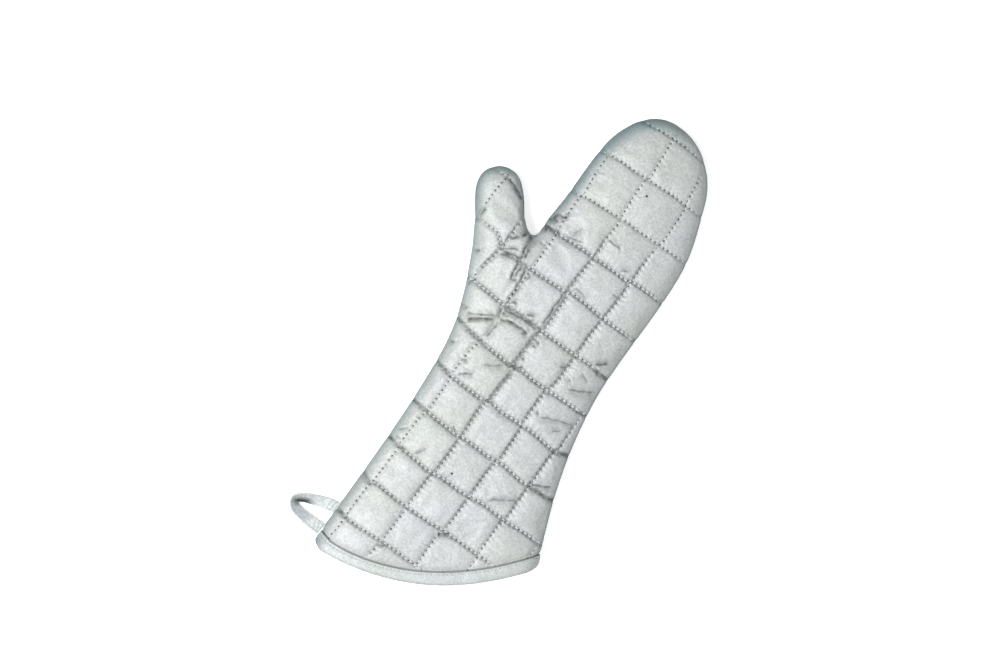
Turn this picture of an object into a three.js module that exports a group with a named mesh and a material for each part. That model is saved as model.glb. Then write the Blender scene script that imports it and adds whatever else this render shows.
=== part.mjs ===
// Heat resistant oven mitten: two quilted panels with a thumb, sewn together along the side seam, a
// taped cuff and a hanging loop. It lies on its back panel, as on a table.
// Millimetres. +Z is up, +Y runs from the cuff to the fingertips, and the origin is on the table
// under the middle of the mitten.

import * as THREE from "three";
import { mergeVertices } from "three/addons/utils/BufferGeometryUtils.js";

// Heights of the lying mitten
const SEAM_HEIGHT = 11;
const EDGE_ROLL = 8;
const EDGE_ROLL_REACH = 9;
const DOME = 12;
const DOME_REACH = 48;
const UNDERSIDE_REACH = 14;
const TABLE_PRESS = 0.45;

// Padded wall, measured inwards from the crowns of its outer puffs
const WALL = 6;
const STITCH_DEPTH = 2.6;
const LINING_PUFF = 0.8;
const STITCH_HALF_WIDTH = 5;
const PANEL_GAP = 0.3;

// Quilting: columns of stitches a pitch apart that lean with the cloth. Above the wrist the crotch
// pleat takes up cloth, which draws in the columns left of it. Rows lift on the thumb.
const COLUMN_PITCH = 34.6;
const PLEAT_TAKE_UP = 7;
const PLEAT_LEFT_OF = -38;
const PLEAT_SPREAD = 20;
const PLEAT_START = 20;
const PLEAT_RISE = 50;
const THUMB_LEFT_OF = -52;
const THUMB_SPREAD = 16;
const QUILT_FADE_START = 2;
const QUILT_FADE = 7;

// Cuff: the panels are pressed flat inside a folded tape
const BINDING_THICKNESS = 1.3;
const PRESSED_WALL = 3.4;
const BINDING_GAP = 0.3;

// Hanging loop
const LOOP_WIDTH = 9.5;
const LOOP_THICKNESS = 1.6;
const LOOP_GAP = 0.3;
const LOOP_BEVEL = 0.5;
const LOOP_STEPS = 28;

// Mesh spacing: along the outline, rings inside it, shares of a quilting cell, and across a fold.
// The clearances keep the next row of places from crowding the one before it.
const OUTLINE_STEP = 8;
const RING_DEPTHS = [2.5, 8];
const RING_SLACK = 0.93;
const RING_CLEARANCE = 0.55;
const FRONT_CELL_SHARES = [0, 0.18, 0.5, 0.82];
const BACK_CELL_SHARES = [0, 0.25, 0.75];
const LATTICE_CLEARANCE = 4.5;
const CELL_CLEARANCE = 4;
const FOLD_SHARES = [0, 0.25, 0.5, 0.75, 1];
const FOLD_CLEARANCE = 3;

// Rows of the mesh along the cuff: the cut edge inside the tape, the upper edge of the pressed band
// and the row where the padding is free again. Stations stand closer together at the corners.
const CUT_EDGE = BINDING_THICKNESS + BINDING_GAP + 0.3;
const PRESSED_EDGE = 0.3;
const CUFF_ROW = 5.5;
const CORNER_STATIONS = [0, 2.7, 8.5, 16];
const CUFF_STEP = 12;
const CUFF_CLEARANCE = 19;

// Steps and tolerances of the sums below
const FIELD_STEP = 1.5;
const FIELD_OVERRUN = 90;
const STRAIGHT_EDGE_SUM = Math.PI / 2;
const ON_SEAM = 0.02;
const SLOPE_STEP = 0.05;
const CROSSING_ROUNDS = 6;
const NOISE = 0.002;
const FAR_OUT = 5000;

const SILVER_CLOTH = { color: 0xc9cdcc, roughness: 0.55, metalness: 0.25 };
const BINDING_TAPE = { color: 0xdde0df, roughness: 0.7, metalness: 0.1 };

// Side seam from the left cuff corner over the thumb and the fingertips to the right cuff corner.
// heading is the direction of travel in degrees from +X.
const SIDE_KNOTS = [
  { at: "left cuff corner", x: -60, y: -213, heading: 87 },
  { at: "left forearm", x: -52.9, y: -65, heading: 90 },
  { at: "wrist", x: -57.8, y: -4, heading: 103.5 },
  { at: "thumb root", x: -74, y: 43, heading: 111.5 },
  { at: "thumb", x: -90, y: 74.5, heading: 119.5 },
  { at: "thumb side", x: -101.2, y: 100, heading: 90 },
  { at: "thumb tip", x: -82.5, y: 117.8, heading: 0 },
  { at: "inner thumb", x: -63.5, y: 106, heading: -51 },
  { at: "thumb hollow", x: -52.7, y: 90.4, heading: -50 },
  { at: "crotch", x: -43, y: 82.6, heading: -14 },
  { at: "first finger root", x: -37.8, y: 89, heading: 93 },
  { at: "first finger", x: -35, y: 122, heading: 85 },
  { at: "first finger tip", x: -31.4, y: 169, heading: 82.5 },
  { at: "fingertips", x: 9, y: 216.5, heading: 0 },
  { at: "last finger tip", x: 62, y: 174, heading: -73 },
  { at: "last finger", x: 74.5, y: 120, heading: -87 },
  { at: "wrist, right", x: 70, y: 9, heading: -90 },
  { at: "right forearm", x: 83.2, y: -83, heading: -75 },
  { at: "right cuff corner", x: 101.3, y: -137, heading: -70 },
];

// Bottom edge of the cuff, and the upper edge of its tape, from left to right
const CUFF_KNOTS = [
  { at: "left corner", x: -60, y: -213, heading: -25 },
  { at: "left", x: -50, y: -216.5, heading: 2.5 },
  { at: "middle", x: 46, y: -188, heading: 32 },
  { at: "right", x: 94.5, y: -147, heading: 46 },
  { at: "right corner", x: 101.3, y: -137, heading: 62 },
];
const TAPE_KNOTS = [
  { at: "left corner", x: -59.5, y: -203.5, heading: -12 },
  { at: "left", x: -44, y: -206.5, heading: 2 },
  { at: "middle", x: 41.7, y: -178.5, heading: 33 },
  { at: "right corner", x: 98, y: -127.5, heading: 50 },
];

// Rows of stitches: height at x = 0, rise per millimetre of x, and extra lift on the thumb
const STITCH_ROWS = [
  { y: 243, slope: -0.047, thumbLift: 0 },
  { y: 204.8, slope: -0.047, thumbLift: 0 },
  { y: 166.6, slope: -0.034, thumbLift: 0 },
  { y: 128.8, slope: -0.03, thumbLift: 18 },
  { y: 93, slope: -0.035, thumbLift: 15 },
  { y: 57.6, slope: -0.0475, thumbLift: 9 },
  { y: 24.4, slope: -0.08, thumbLift: 0 },
  { y: -11, slope: -0.08, thumbLift: 0 },
  { y: -46.6, slope: -0.074, thumbLift: 0 },
  { y: -80.7, slope: -0.063, thumbLift: 0 },
  { y: -115.1, slope: -0.058, thumbLift: 0 },
  { y: -150, slope: -0.046, thumbLift: 0 },
  { y: -184.3, slope: -0.05, thumbLift: 0 },
  { y: -219, slope: -0.05, thumbLift: 0 },
];

// Course of the middle column of stitches
const COLUMN_BEND = [
  { y: -219, x: -19 },
  { y: -184, x: -15.5 },
  { y: -118, x: -9.5 },
  { y: -47, x: -3.2 },
  { y: 21, x: 3.9 },
  { y: 94, x: 8.7 },
  { y: 167, x: 11.8 },
  { y: 243, x: 15 },
];
const COLUMN_NUMBERS = [-3, -2, -1, 0, 1, 2, 3];

// How full the mitten lies along its length, as a share of DOME
const FULLNESS = [
  { y: -216, share: 0.95 },
  { y: -110, share: 0.85 },
  { y: -10, share: 0.8 },
  { y: 70, share: 1.1 },
  { y: 150, share: 1.1 },
  { y: 216, share: 0.95 },
];

// Folds of the front panel
const FOLDS = [
  { at: "crotch pleat", x1: -42, y1: 79, x2: -37, y2: 46, depth: 3.6, width: 4.5 },
  { at: "pucker across the pleat", x1: -53, y1: 62, x2: -30, y2: 60, depth: 1.6, width: 3.5 },
  { at: "thumb root fold", x1: -54, y1: 4, x2: -30, y2: 11.5, depth: 2.2, width: 3.5 },
  { at: "palm fold", x1: -27, y1: 12, x2: -5, y2: 12.5, depth: 1.8, width: 3.5 },
];

// Centre line of the hanging loop; tilt is 90 where the tape lies flat and 0 where it stands on edge
const LOOP_KNOTS = [
  { x: -58.6, y: -182, z: SEAM_HEIGHT, tilt: 90 },
  { x: -66, y: -182.4, z: 10.4, tilt: 84 },
  { x: -76, y: -184.6, z: 8.6, tilt: 62 },
  { x: -86, y: -188, z: 6.6, tilt: 38 },
  { x: -90.8, y: -193.4, z: 5.8, tilt: 30 },
  { x: -87.4, y: -199, z: 6.6, tilt: 38 },
  { x: -77, y: -201.4, z: 8.6, tilt: 62 },
  { x: -68, y: -202.4, z: 10.4, tilt: 84 },
  { x: -60, y: -202.8, z: SEAM_HEIGHT, tilt: 90 },
];

const clamp01 = (t) => Math.min(Math.max(t, 0), 1);
const smoothstep = (t) => clamp01(t) ** 2 * (3 - 2 * clamp01(t));
const degrees = (angle) => THREE.MathUtils.degToRad(angle);

// Quarter of an ellipse: 0 at t = 0, where it stands upright, and 1 from t = 1 on
const quarterRound = (t) => Math.sqrt(1 - (1 - clamp01(t)) ** 2);

// Value of column `key` at height y in a table that rises with y, straight from row to row
function alongY(table, key, y) {
  const next = table.findIndex((row) => row.y > y);
  if (next === 0) return table[0][key];
  if (next < 0) return table[table.length - 1][key];
  const [below, above] = [table[next - 1], table[next]];
  return THREE.MathUtils.mapLinear(y, below.y, above.y, below[key], above[key]);
}

// Curve through knots with headings: each stretch is the cubic that a circular arc would give
function curveThrough(knots) {
  const path = new THREE.CurvePath();
  for (let i = 1; i < knots.length; i++) {
    const from = new THREE.Vector2(knots[i - 1].x, knots[i - 1].y);
    const to = new THREE.Vector2(knots[i].x, knots[i].y);
    const turned = Math.abs(knots[i].heading - knots[i - 1].heading) % 360;
    const turn = degrees(Math.max(Math.min(turned, 360 - turned), 1));
    const handle = (from.distanceTo(to) * 2 * Math.tan(turn / 4)) / (3 * Math.sin(turn / 2));
    const ahead = (knot, length) =>
      new THREE.Vector2(
        knot.x + length * Math.cos(degrees(knot.heading)),
        knot.y + length * Math.sin(degrees(knot.heading)),
      );
    path.add(new THREE.CubicBezierCurve(from, ahead(knots[i - 1], handle), ahead(knots[i], -handle), to));
  }
  return path;
}

// Points on a path, about `step` apart, with every knot kept
function pointsOn(path, step) {
  const points = [path.curves[0].getPoint(0)];
  for (const curve of path.curves) {
    const count = Math.max(1, Math.round(curve.getLength() / step));
    points.push(...curve.getSpacedPoints(count).slice(1));
  }
  return points;
}

const sidePath = curveThrough(SIDE_KNOTS);
const cuffPath = curveThrough(CUFF_KNOTS);
const tapePath = curveThrough(TAPE_KNOTS);

// The side seam as a fine row of points, drawn on past both cuff corners, so that the distance
// from it is also right at the cuff
function seamField() {
  const points = pointsOn(sidePath, FIELD_STEP);
  const drawnOn = (end, before) => {
    const direction = end.clone().sub(before).normalize();
    const count = Math.round(FIELD_OVERRUN / FIELD_STEP);
    return Array.from({ length: count }, (_, i) =>
      end.clone().addScaledVector(direction, (i + 1) * FIELD_STEP),
    );
  };
  const last = points.length - 1;
  return [
    ...drawnOn(points[0], points[1]).reverse(),
    ...points,
    ...drawnOn(points[last], points[last - 1]),
  ];
}
const seamPoints = seamField();
const cuffPoints = pointsOn(cuffPath, FIELD_STEP);

// Nearest point of a polyline to (x, y): its distance, and the polyline's direction there
function nearestOn(points, x, y) {
  const best = { distance: Infinity, along: null, foot: null };
  for (let i = 1; i < points.length; i++) {
    const a = points[i - 1];
    const b = points[i];
    const length2 = (b.x - a.x) ** 2 + (b.y - a.y) ** 2;
    const t = clamp01(((x - a.x) * (b.x - a.x) + (y - a.y) * (b.y - a.y)) / length2);
    const foot = new THREE.Vector2(a.x + t * (b.x - a.x), a.y + t * (b.y - a.y));
    const distance = Math.hypot(x - foot.x, y - foot.y);
    if (distance < best.distance) {
      best.distance = distance;
      best.along = b.clone().sub(a).normalize();
      best.foot = foot;
    }
  }
  return best;
}

// Smooth distance from the side seam. It is the true distance near the seam and levels off
// between two seams, so a narrow thumb is round like the wide hand.
function softDistance(x, y) {
  let sum = 0;
  for (let i = 1; i < seamPoints.length; i++) {
    const a = seamPoints[i - 1];
    const b = seamPoints[i];
    const length = Math.hypot(b.x - a.x, b.y - a.y);
    const gap2 = (x - (a.x + b.x) / 2) ** 2 + (y - (a.y + b.y) / 2) ** 2;
    sum += length / gap2 ** 2;
  }
  return Math.cbrt(STRAIGHT_EDGE_SUM / sum);
}

// Height of the outer face above the seam, before quilting, at a soft distance from the seam
function topRise(reach, y) {
  const full = DOME * alongY(FULLNESS, "share", y);
  return EDGE_ROLL * quarterRound(reach / EDGE_ROLL_REACH) + full * quarterRound(reach / DOME_REACH);
}
function bottomDrop(reach) {
  return (SEAM_HEIGHT - PANEL_GAP / 2 + TABLE_PRESS) * quarterRound(reach / UNDERSIDE_REACH);
}

// Point of a panel at a place in plan, `offset` outwards from its crown surface. `side` is 1 for
// the front panel and -1 for the back panel. On the seam itself outwards is level. A place can
// name the plan direction in which outwards leans, and else it leans square to the seam. What
// would dip under the table is pressed flat on it.
function panelPoint(side, { x, y, outwards }, offset) {
  const seam = nearestOn(seamPoints, x, y);
  const seamZ = SEAM_HEIGHT + (side * PANEL_GAP) / 2;
  if (seam.distance < ON_SEAM) {
    const away = outwards ?? new THREE.Vector2(-seam.along.y, seam.along.x);
    return new THREE.Vector3(x + away.x * offset, y + away.y * offset, seamZ);
  }
  const height = (px, py) => {
    const reach = softDistance(px, py);
    return side > 0 ? topRise(reach, py) : bottomDrop(reach);
  };
  const rise = height(x, y);
  const normal = new THREE.Vector3(
    (height(x - SLOPE_STEP, y) - height(x + SLOPE_STEP, y)) / (2 * SLOPE_STEP),
    (height(x, y - SLOPE_STEP) - height(x, y + SLOPE_STEP)) / (2 * SLOPE_STEP),
    1,
  ).normalize();
  const level = outwards
    ? outwards.clone().multiplyScalar(Math.hypot(normal.x, normal.y))
    : new THREE.Vector2(normal.x, normal.y);
  return new THREE.Vector3(
    x + level.x * offset,
    y + level.y * offset,
    Math.max(seamZ + side * (rise + normal.z * offset), 0),
  );
}

// Lines of stitches
function rowHeight(row, x) {
  const onThumb = smoothstep((THUMB_LEFT_OF - x) / THUMB_SPREAD);
  return row.y + row.slope * x + row.thumbLift * onThumb;
}
function columnPlace(number, y) {
  const straight = alongY(COLUMN_BEND, "x", y) + number * COLUMN_PITCH;
  const above = smoothstep((y - PLEAT_START) / PLEAT_RISE);
  const left = smoothstep((PLEAT_LEFT_OF - straight) / PLEAT_SPREAD);
  return straight + PLEAT_TAKE_UP * above * left;
}

// 0 on a line of stitches and 1 on the crown of a puff
function puffAt(x, y) {
  const away = (distance) => 1 - Math.exp(-((distance / STITCH_HALF_WIDTH) ** 2));
  const rowGap = Math.min(...STITCH_ROWS.map((row) => Math.abs(y - rowHeight(row, x))));
  const columnGap = Math.min(...COLUMN_NUMBERS.map((number) => Math.abs(x - columnPlace(number, y))));
  return away(rowGap) * away(columnGap);
}

function foldDepth(x, y) {
  return FOLDS.reduce((sum, fold) => {
    const ends = [new THREE.Vector2(fold.x1, fold.y1), new THREE.Vector2(fold.x2, fold.y2)];
    const { distance } = nearestOn(ends, x, y);
    return sum + fold.depth * Math.exp(-((distance / fold.width) ** 2));
  }, 0);
}

// Outer and inner offsets of a panel's wall, with the quilting fading out at the seam and the
// wall pressed flat inside the cuff's tape
function wallOffsets(side, place) {
  if (place.pressed) {
    const outer = -BINDING_THICKNESS - BINDING_GAP;
    return { outer, inner: outer - PRESSED_WALL };
  }
  const seamDistance = nearestOn(seamPoints, place.x, place.y).distance;
  const fade = smoothstep((seamDistance - QUILT_FADE_START) / QUILT_FADE);
  const hollow = (1 - puffAt(place.x, place.y)) * fade;
  const fold = side > 0 ? foldDepth(place.x, place.y) * fade : 0;
  return {
    outer: -STITCH_DEPTH * hollow - fold,
    inner: -WALL + LINING_PUFF * hollow - fold,
  };
}

// Stations along the cuff, each with the bottom edge and the tape's upper edge there
function cuffStations() {
  const length = cuffPath.getLength();
  const cornerLength = CORNER_STATIONS[CORNER_STATIONS.length - 1];
  const middle = length - 2 * cornerLength;
  const count = Math.round(middle / CUFF_STEP);
  const arcs = [...CORNER_STATIONS];
  for (let i = 1; i < count; i++) arcs.push(cornerLength + (middle * i) / count);
  arcs.push(...CORNER_STATIONS.map((arc) => length - arc).reverse());
  return arcs.map((arc) => {
    const bottom = cuffPath.getPointAt(arc / length);
    const top = tapePath.getPointAt(arc / length);
    return {
      bottom,
      top,
      width: bottom.distanceTo(top),
      towardsCorner: cuffPath.getTangentAt(arc / length).multiplyScalar(arc > length / 2 ? 1 : -1),
      corner: arc === 0 || arc === length,
    };
  });
}
const stations = cuffStations();

// Place in plan, `inwards` millimetres from the bottom edge of the cuff at a station. At the two
// corners it stays on the side seam. Outwards leans along the cuff's edge.
function acrossCuff(station, inwards) {
  const place = station.bottom.clone().lerp(station.top, inwards / station.width);
  const { foot, along } = nearestOn(seamPoints, place.x, place.y);
  const square = new THREE.Vector2(-along.y, along.x);
  const outwards = station.towardsCorner.clone().divideScalar(station.towardsCorner.dot(square));
  const { x, y } = station.corner ? foot : place;
  return { x, y, outwards };
}

// Row of places along the cuff from left to right
function cuffRow(inwardsOf, pressed) {
  return stations.map((station) => ({ ...acrossCuff(station, inwardsOf(station)), pressed }));
}
const cutRow = cuffRow(() => CUT_EDGE, true);
const pressedRow = cuffRow((station) => station.width + PRESSED_EDGE, true);
const freeRow = cuffRow((station) => station.width + CUFF_ROW, false);

function insideLoop(loop, x, y) {
  let inside = false;
  for (let i = 0, j = loop.length - 1; i < loop.length; j = i++) {
    const a = loop[i];
    const b = loop[j];
    if (a.y > y !== b.y > y && x < ((b.x - a.x) * (y - a.y)) / (b.y - a.y) + a.x) inside = !inside;
  }
  return inside;
}

// Crossing of a row and a column of the quilting, also between them at a share of a cell
function latticePlace(rowIndex, rowShare, number, columnShare) {
  const row = STITCH_ROWS[rowIndex];
  const next = STITCH_ROWS[rowIndex + 1];
  let x = 0;
  let y = row.y;
  for (let i = 0; i < CROSSING_ROUNDS; i++) {
    x = THREE.MathUtils.lerp(columnPlace(number, y), columnPlace(number + 1, y), columnShare);
    y = THREE.MathUtils.lerp(rowHeight(row, x), rowHeight(next, x), rowShare);
  }
  return { x, y, pressed: false };
}

// Places above the cuff: the free row, the side seam, rings inside it, folds and quilting
function openPlaces(cellShares, folds) {
  const [left, right] = [freeRow[0], freeRow[freeRow.length - 1]];
  const side = pointsOn(sidePath, OUTLINE_STEP).filter(
    ({ x, y }) => y > (x < 0 ? left.y : right.y) + OUTLINE_STEP / 2,
  );
  const loop = [...freeRow, ...side.toReversed()];
  const places = [...loop];
  const clearOf = (x, y, others, gap) => others.every((o) => Math.hypot(o.x - x, o.y - y) > gap);
  const cuffGap = (x, y) => nearestOn(cuffPoints, x, y).distance;
  for (const depth of RING_DEPTHS) {
    for (const point of side) {
      const { along } = nearestOn(seamPoints, point.x, point.y);
      const x = point.x + along.y * depth;
      const y = point.y - along.x * depth;
      const close = nearestOn(seamPoints, x, y).distance < RING_SLACK * depth;
      if (close || !insideLoop(loop, x, y) || cuffGap(x, y) < CUFF_CLEARANCE) continue;
      if (clearOf(x, y, places, RING_CLEARANCE * depth)) places.push({ x, y, pressed: false });
    }
  }
  const clearRing = RING_DEPTHS[RING_DEPTHS.length - 1] + LATTICE_CLEARANCE;
  const addInside = (x, y, gap) => {
    if (!insideLoop(loop, x, y) || cuffGap(x, y) < CUFF_CLEARANCE) return;
    if (nearestOn(seamPoints, x, y).distance < clearRing) return;
    if (clearOf(x, y, places, gap)) places.push({ x, y, pressed: false });
  };
  for (const fold of folds) {
    const from = new THREE.Vector2(fold.x1, fold.y1);
    const to = new THREE.Vector2(fold.x2, fold.y2);
    const across = to.clone().sub(from).normalize().rotateAround(new THREE.Vector2(), Math.PI / 2);
    for (const along of FOLD_SHARES) {
      for (const aside of [0, 1, -1]) {
        const place = from.clone().lerp(to, along).addScaledVector(across, aside * fold.width);
        addInside(place.x, place.y, FOLD_CLEARANCE);
      }
    }
  }
  for (let row = 0; row < STITCH_ROWS.length - 1; row++) {
    for (const number of [COLUMN_NUMBERS[0] - 1, ...COLUMN_NUMBERS]) {
      for (const rowShare of cellShares) {
        for (const columnShare of cellShares) {
          const place = latticePlace(row, rowShare, number, columnShare);
          addInside(place.x, place.y, CELL_CLEARANCE);
        }
      }
    }
  }
  return { places, loop };
}

// Delaunay triangles of places in plan, built up one place at a time. A hair of even noise keeps
// four places from lying on one circle.
function triangulate(places) {
  const points = places.map((place, i) => ({
    x: place.x + NOISE * Math.sin(12.9898 * i),
    y: place.y + NOISE * Math.sin(78.233 * i),
  }));
  points.push({ x: -FAR_OUT, y: -FAR_OUT }, { x: FAR_OUT, y: -FAR_OUT }, { x: 0, y: FAR_OUT });
  const count = places.length;
  const circled = (a, b, c) => {
    const [p, q, r] = [points[a], points[b], points[c]];
    const d = 2 * (p.x * (q.y - r.y) + q.x * (r.y - p.y) + r.x * (p.y - q.y));
    const [pp, qq, rr] = [p, q, r].map((v) => v.x * v.x + v.y * v.y);
    const x = (pp * (q.y - r.y) + qq * (r.y - p.y) + rr * (p.y - q.y)) / d;
    const y = (pp * (r.x - q.x) + qq * (p.x - r.x) + rr * (q.x - p.x)) / d;
    return { a, b, c, x, y, r2: (p.x - x) ** 2 + (p.y - y) ** 2 };
  };
  let triangles = [circled(count, count + 1, count + 2)];
  for (let i = 0; i < count; i++) {
    const { x, y } = points[i];
    const edges = new Map();
    const kept = [];
    for (const triangle of triangles) {
      if ((x - triangle.x) ** 2 + (y - triangle.y) ** 2 >= triangle.r2) {
        kept.push(triangle);
        continue;
      }
      const { a, b, c } = triangle;
      for (const [from, to] of [[a, b], [b, c], [c, a]]) {
        if (!edges.delete(`${to} ${from}`)) edges.set(`${from} ${to}`, [from, to]);
      }
    }
    triangles = kept;
    for (const [from, to] of edges.values()) triangles.push(circled(from, to, i));
  }
  return triangles.filter(({ a, b, c }) => Math.max(a, b, c) < count).map(({ a, b, c }) => [a, b, c]);
}

// Plan of a panel: even strips between the rows at the cuff, and a free mesh above them
function panelPlan(cellShares, folds) {
  const { places: open, loop } = openPlaces(cellShares, folds);
  const width = stations.length;
  const strips = [];
  for (let i = 0; i < width - 1; i++) {
    for (const row of [0, width]) {
      const [a, b] = [row + i, row + i + 1];
      strips.push([a, b, b + width], [a, b + width, a + width]);
    }
  }
  const free = triangulate(open).filter((corners) => {
    const [p, q, r] = corners.map((i) => open[i]);
    return insideLoop(loop, (p.x + q.x + r.x) / 3, (p.y + q.y + r.y) / 3);
  });
  return {
    places: [...cutRow, ...pressedRow, ...open],
    triangles: [...strips, ...free.map((corners) => corners.map((i) => i + 2 * width))],
  };
}

function solidFrom(positions, triangles) {
  const geometry = new THREE.BufferGeometry();
  const numbers = positions.flatMap((point) => point.toArray());
  geometry.setAttribute("position", new THREE.Float32BufferAttribute(numbers, 3));
  geometry.setIndex(triangles.flat());
  const merged = mergeVertices(geometry, 1e-4);
  merged.computeVertexNormals();
  return merged;
}

// A sheet of triangles given a thickness: outer face, inner face, and a rim along its open edges
function thickSheet(triangles, outer, inner) {
  const count = outer.length;
  const directed = new Set(triangles.flatMap(([a, b, c]) => [`${a} ${b}`, `${b} ${c}`, `${c} ${a}`]));
  const rim = [];
  for (const [a, b, c] of triangles) {
    for (const [from, to] of [[a, b], [b, c], [c, a]]) {
      if (directed.has(`${to} ${from}`)) continue;
      rim.push([to, from, from + count], [to, from + count, to + count]);
    }
  }
  const underneath = triangles.map(([a, b, c]) => [c + count, b + count, a + count]);
  return solidFrom([...outer, ...inner], [...triangles, ...underneath, ...rim]);
}

function quiltedPanel(side, plan) {
  const offsets = plan.places.map((place) => wallOffsets(side, place));
  const outer = plan.places.map((place, i) => panelPoint(side, place, offsets[i].outer));
  const inner = plan.places.map((place, i) => panelPoint(side, place, offsets[i].inner));
  const facing = side > 0 ? plan.triangles : plan.triangles.map(([a, b, c]) => [c, b, a]);
  return thickSheet(facing, outer, inner);
}

// Skin over a row of sections with equal numbers of points, closed on itself or capped
function skin(sections, closed) {
  const size = sections[0].length;
  const count = sections.length;
  const triangles = [];
  for (let s = 0; s < (closed ? count : count - 1); s++) {
    const next = ((s + 1) % count) * size;
    for (let i = 0; i < size; i++) {
      const j = (i + 1) % size;
      const [a, b, c, d] = [s * size + i, s * size + j, next + j, next + i];
      triangles.push([c, b, a], [d, c, a]);
    }
  }
  if (!closed) {
    const last = (count - 1) * size;
    for (let i = 1; i < size - 1; i++) {
      triangles.push([0, i, i + 1], [last, last + i + 1, last + i]);
    }
  }
  return solidFrom(sections.flat(), triangles);
}

// Folded tape round the cuff: a U whose legs lie outside and inside the panels
function cuffBinding() {
  const outsideOfWall = -BINDING_THICKNESS;
  const insideOfWall = -BINDING_THICKNESS - 2 * BINDING_GAP - PRESSED_WALL;
  const innermost = insideOfWall - BINDING_THICKNESS;
  const base = BINDING_THICKNESS;
  const section = (width) => [
    { inwards: width, offset: 0 },
    { inwards: width, offset: outsideOfWall },
    { inwards: base, offset: outsideOfWall },
    { inwards: base, offset: insideOfWall },
    { inwards: width, offset: insideOfWall },
    { inwards: width, offset: innermost },
    { inwards: base, offset: innermost },
    { inwards: 0, offset: (insideOfWall + innermost) / 2 },
    { inwards: 0, offset: outsideOfWall },
    { inwards: base, offset: 0 },
  ];
  const sectionAt = (side, station) =>
    section(station.width).map(({ inwards, offset }) => {
      const point = panelPoint(side, acrossCuff(station, inwards), offset);
      if (station.corner) point.z = SEAM_HEIGHT;
      return point;
    });
  return skin(
    [
      ...stations.map((station) => sectionAt(1, station)),
      ...stations.slice(1, -1).reverse().map((station) => sectionAt(-1, station)),
    ],
    true,
  );
}

// Flat tape along the loop's centre line, turning from flat at the seam to on edge at its end
function hangingLoop() {
  const line = new THREE.CatmullRomCurve3(
    LOOP_KNOTS.map(({ x, y, z }) => new THREE.Vector3(x, y, z)),
    false,
    "centripetal",
  );
  const up = new THREE.Vector3(0, 0, 1);
  const [w, h] = [LOOP_WIDTH / 2, LOOP_THICKNESS / 2];
  const outline = [
    [w, h - LOOP_BEVEL],
    [w - LOOP_BEVEL, h],
    [LOOP_BEVEL - w, h],
    [-w, h - LOOP_BEVEL],
    [-w, LOOP_BEVEL - h],
    [LOOP_BEVEL - w, -h],
    [w - LOOP_BEVEL, -h],
    [w, LOOP_BEVEL - h],
  ];
  const sections = Array.from({ length: LOOP_STEPS + 1 }, (_, i) => {
    const t = i / LOOP_STEPS;
    const centre = line.getPoint(t);
    const along = line.getTangent(t).setZ(0).normalize();
    const place = t * (LOOP_KNOTS.length - 1);
    const k = Math.min(Math.floor(place), LOOP_KNOTS.length - 2);
    const tilt = degrees(THREE.MathUtils.lerp(LOOP_KNOTS[k].tilt, LOOP_KNOTS[k + 1].tilt, place - k));
    const outwards = new THREE.Vector3().crossVectors(along, up);
    const wide = up.clone().multiplyScalar(Math.cos(tilt)).addScaledVector(outwards, Math.sin(tilt));
    const thin = new THREE.Vector3().crossVectors(wide, along);
    return outline.map(([u, v]) => centre.clone().addScaledVector(wide, u).addScaledVector(thin, v));
  });
  for (const point of [...sections[0], ...sections[LOOP_STEPS]]) {
    point.x = nearestOn(seamPoints, point.x, point.y).foot.x - LOOP_GAP;
  }
  return skin(sections, false);
}

function piece(name, geometry, finish) {
  const mesh = new THREE.Mesh(geometry, new THREE.MeshStandardMaterial(finish));
  mesh.name = name;
  return mesh;
}

const group = new THREE.Group();
group.add(piece("front_panel", quiltedPanel(1, panelPlan(FRONT_CELL_SHARES, FOLDS)), SILVER_CLOTH));
group.add(piece("back_panel", quiltedPanel(-1, panelPlan(BACK_CELL_SHARES, [])), SILVER_CLOTH));
group.add(piece("cuff_binding", cuffBinding(), BINDING_TAPE));
group.add(piece("hanging_loop", hangingLoop(), BINDING_TAPE));

export default group;
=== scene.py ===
"""Looks of the heat resistant mitten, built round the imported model.

The mitten lies on its back panel: two quilted panels of silver coated cotton over wadding, sewn
together along the side seam, a folded tape round the cuff and a hanging loop in the seam.
Lengths are millimetres in the row frame, and make_mesh turns them to metres.
"""

import logging
import math
from collections.abc import Iterable, Sequence
from dataclasses import dataclass, field
from enum import Enum
from functools import cached_property

import bpy
import numpy as np
from bpy.types import Material, Node, NodeSocket, NodeTree, Object
from mathutils import Euler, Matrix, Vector
from mathutils.bvhtree import BVHTree
from mathutils.geometry import delaunay_2d_cdt


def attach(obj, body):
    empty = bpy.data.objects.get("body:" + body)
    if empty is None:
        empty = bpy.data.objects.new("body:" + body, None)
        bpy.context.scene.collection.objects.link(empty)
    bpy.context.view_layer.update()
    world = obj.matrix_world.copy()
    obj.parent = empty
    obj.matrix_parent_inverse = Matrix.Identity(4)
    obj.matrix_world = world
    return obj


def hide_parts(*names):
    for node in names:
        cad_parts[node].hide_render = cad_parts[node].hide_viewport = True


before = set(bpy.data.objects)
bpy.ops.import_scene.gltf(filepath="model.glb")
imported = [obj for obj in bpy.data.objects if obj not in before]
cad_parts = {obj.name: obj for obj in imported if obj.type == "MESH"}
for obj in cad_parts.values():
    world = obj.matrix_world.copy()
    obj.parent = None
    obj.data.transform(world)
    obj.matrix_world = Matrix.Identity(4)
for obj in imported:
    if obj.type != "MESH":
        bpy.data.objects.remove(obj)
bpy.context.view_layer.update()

LOG = logging.getLogger("mitten")
MM = 0.001
BODY = "root"
STITCH = 4.1
# Stands for a place that is nowhere near a line of stitches
FAR = 99.0

Array = np.ndarray
Floats = tuple[float, ...]
# Two numbers: a place in plan, what ramp or bell reads, or a value and how much it changes
Pair = tuple[float, float]


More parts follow.
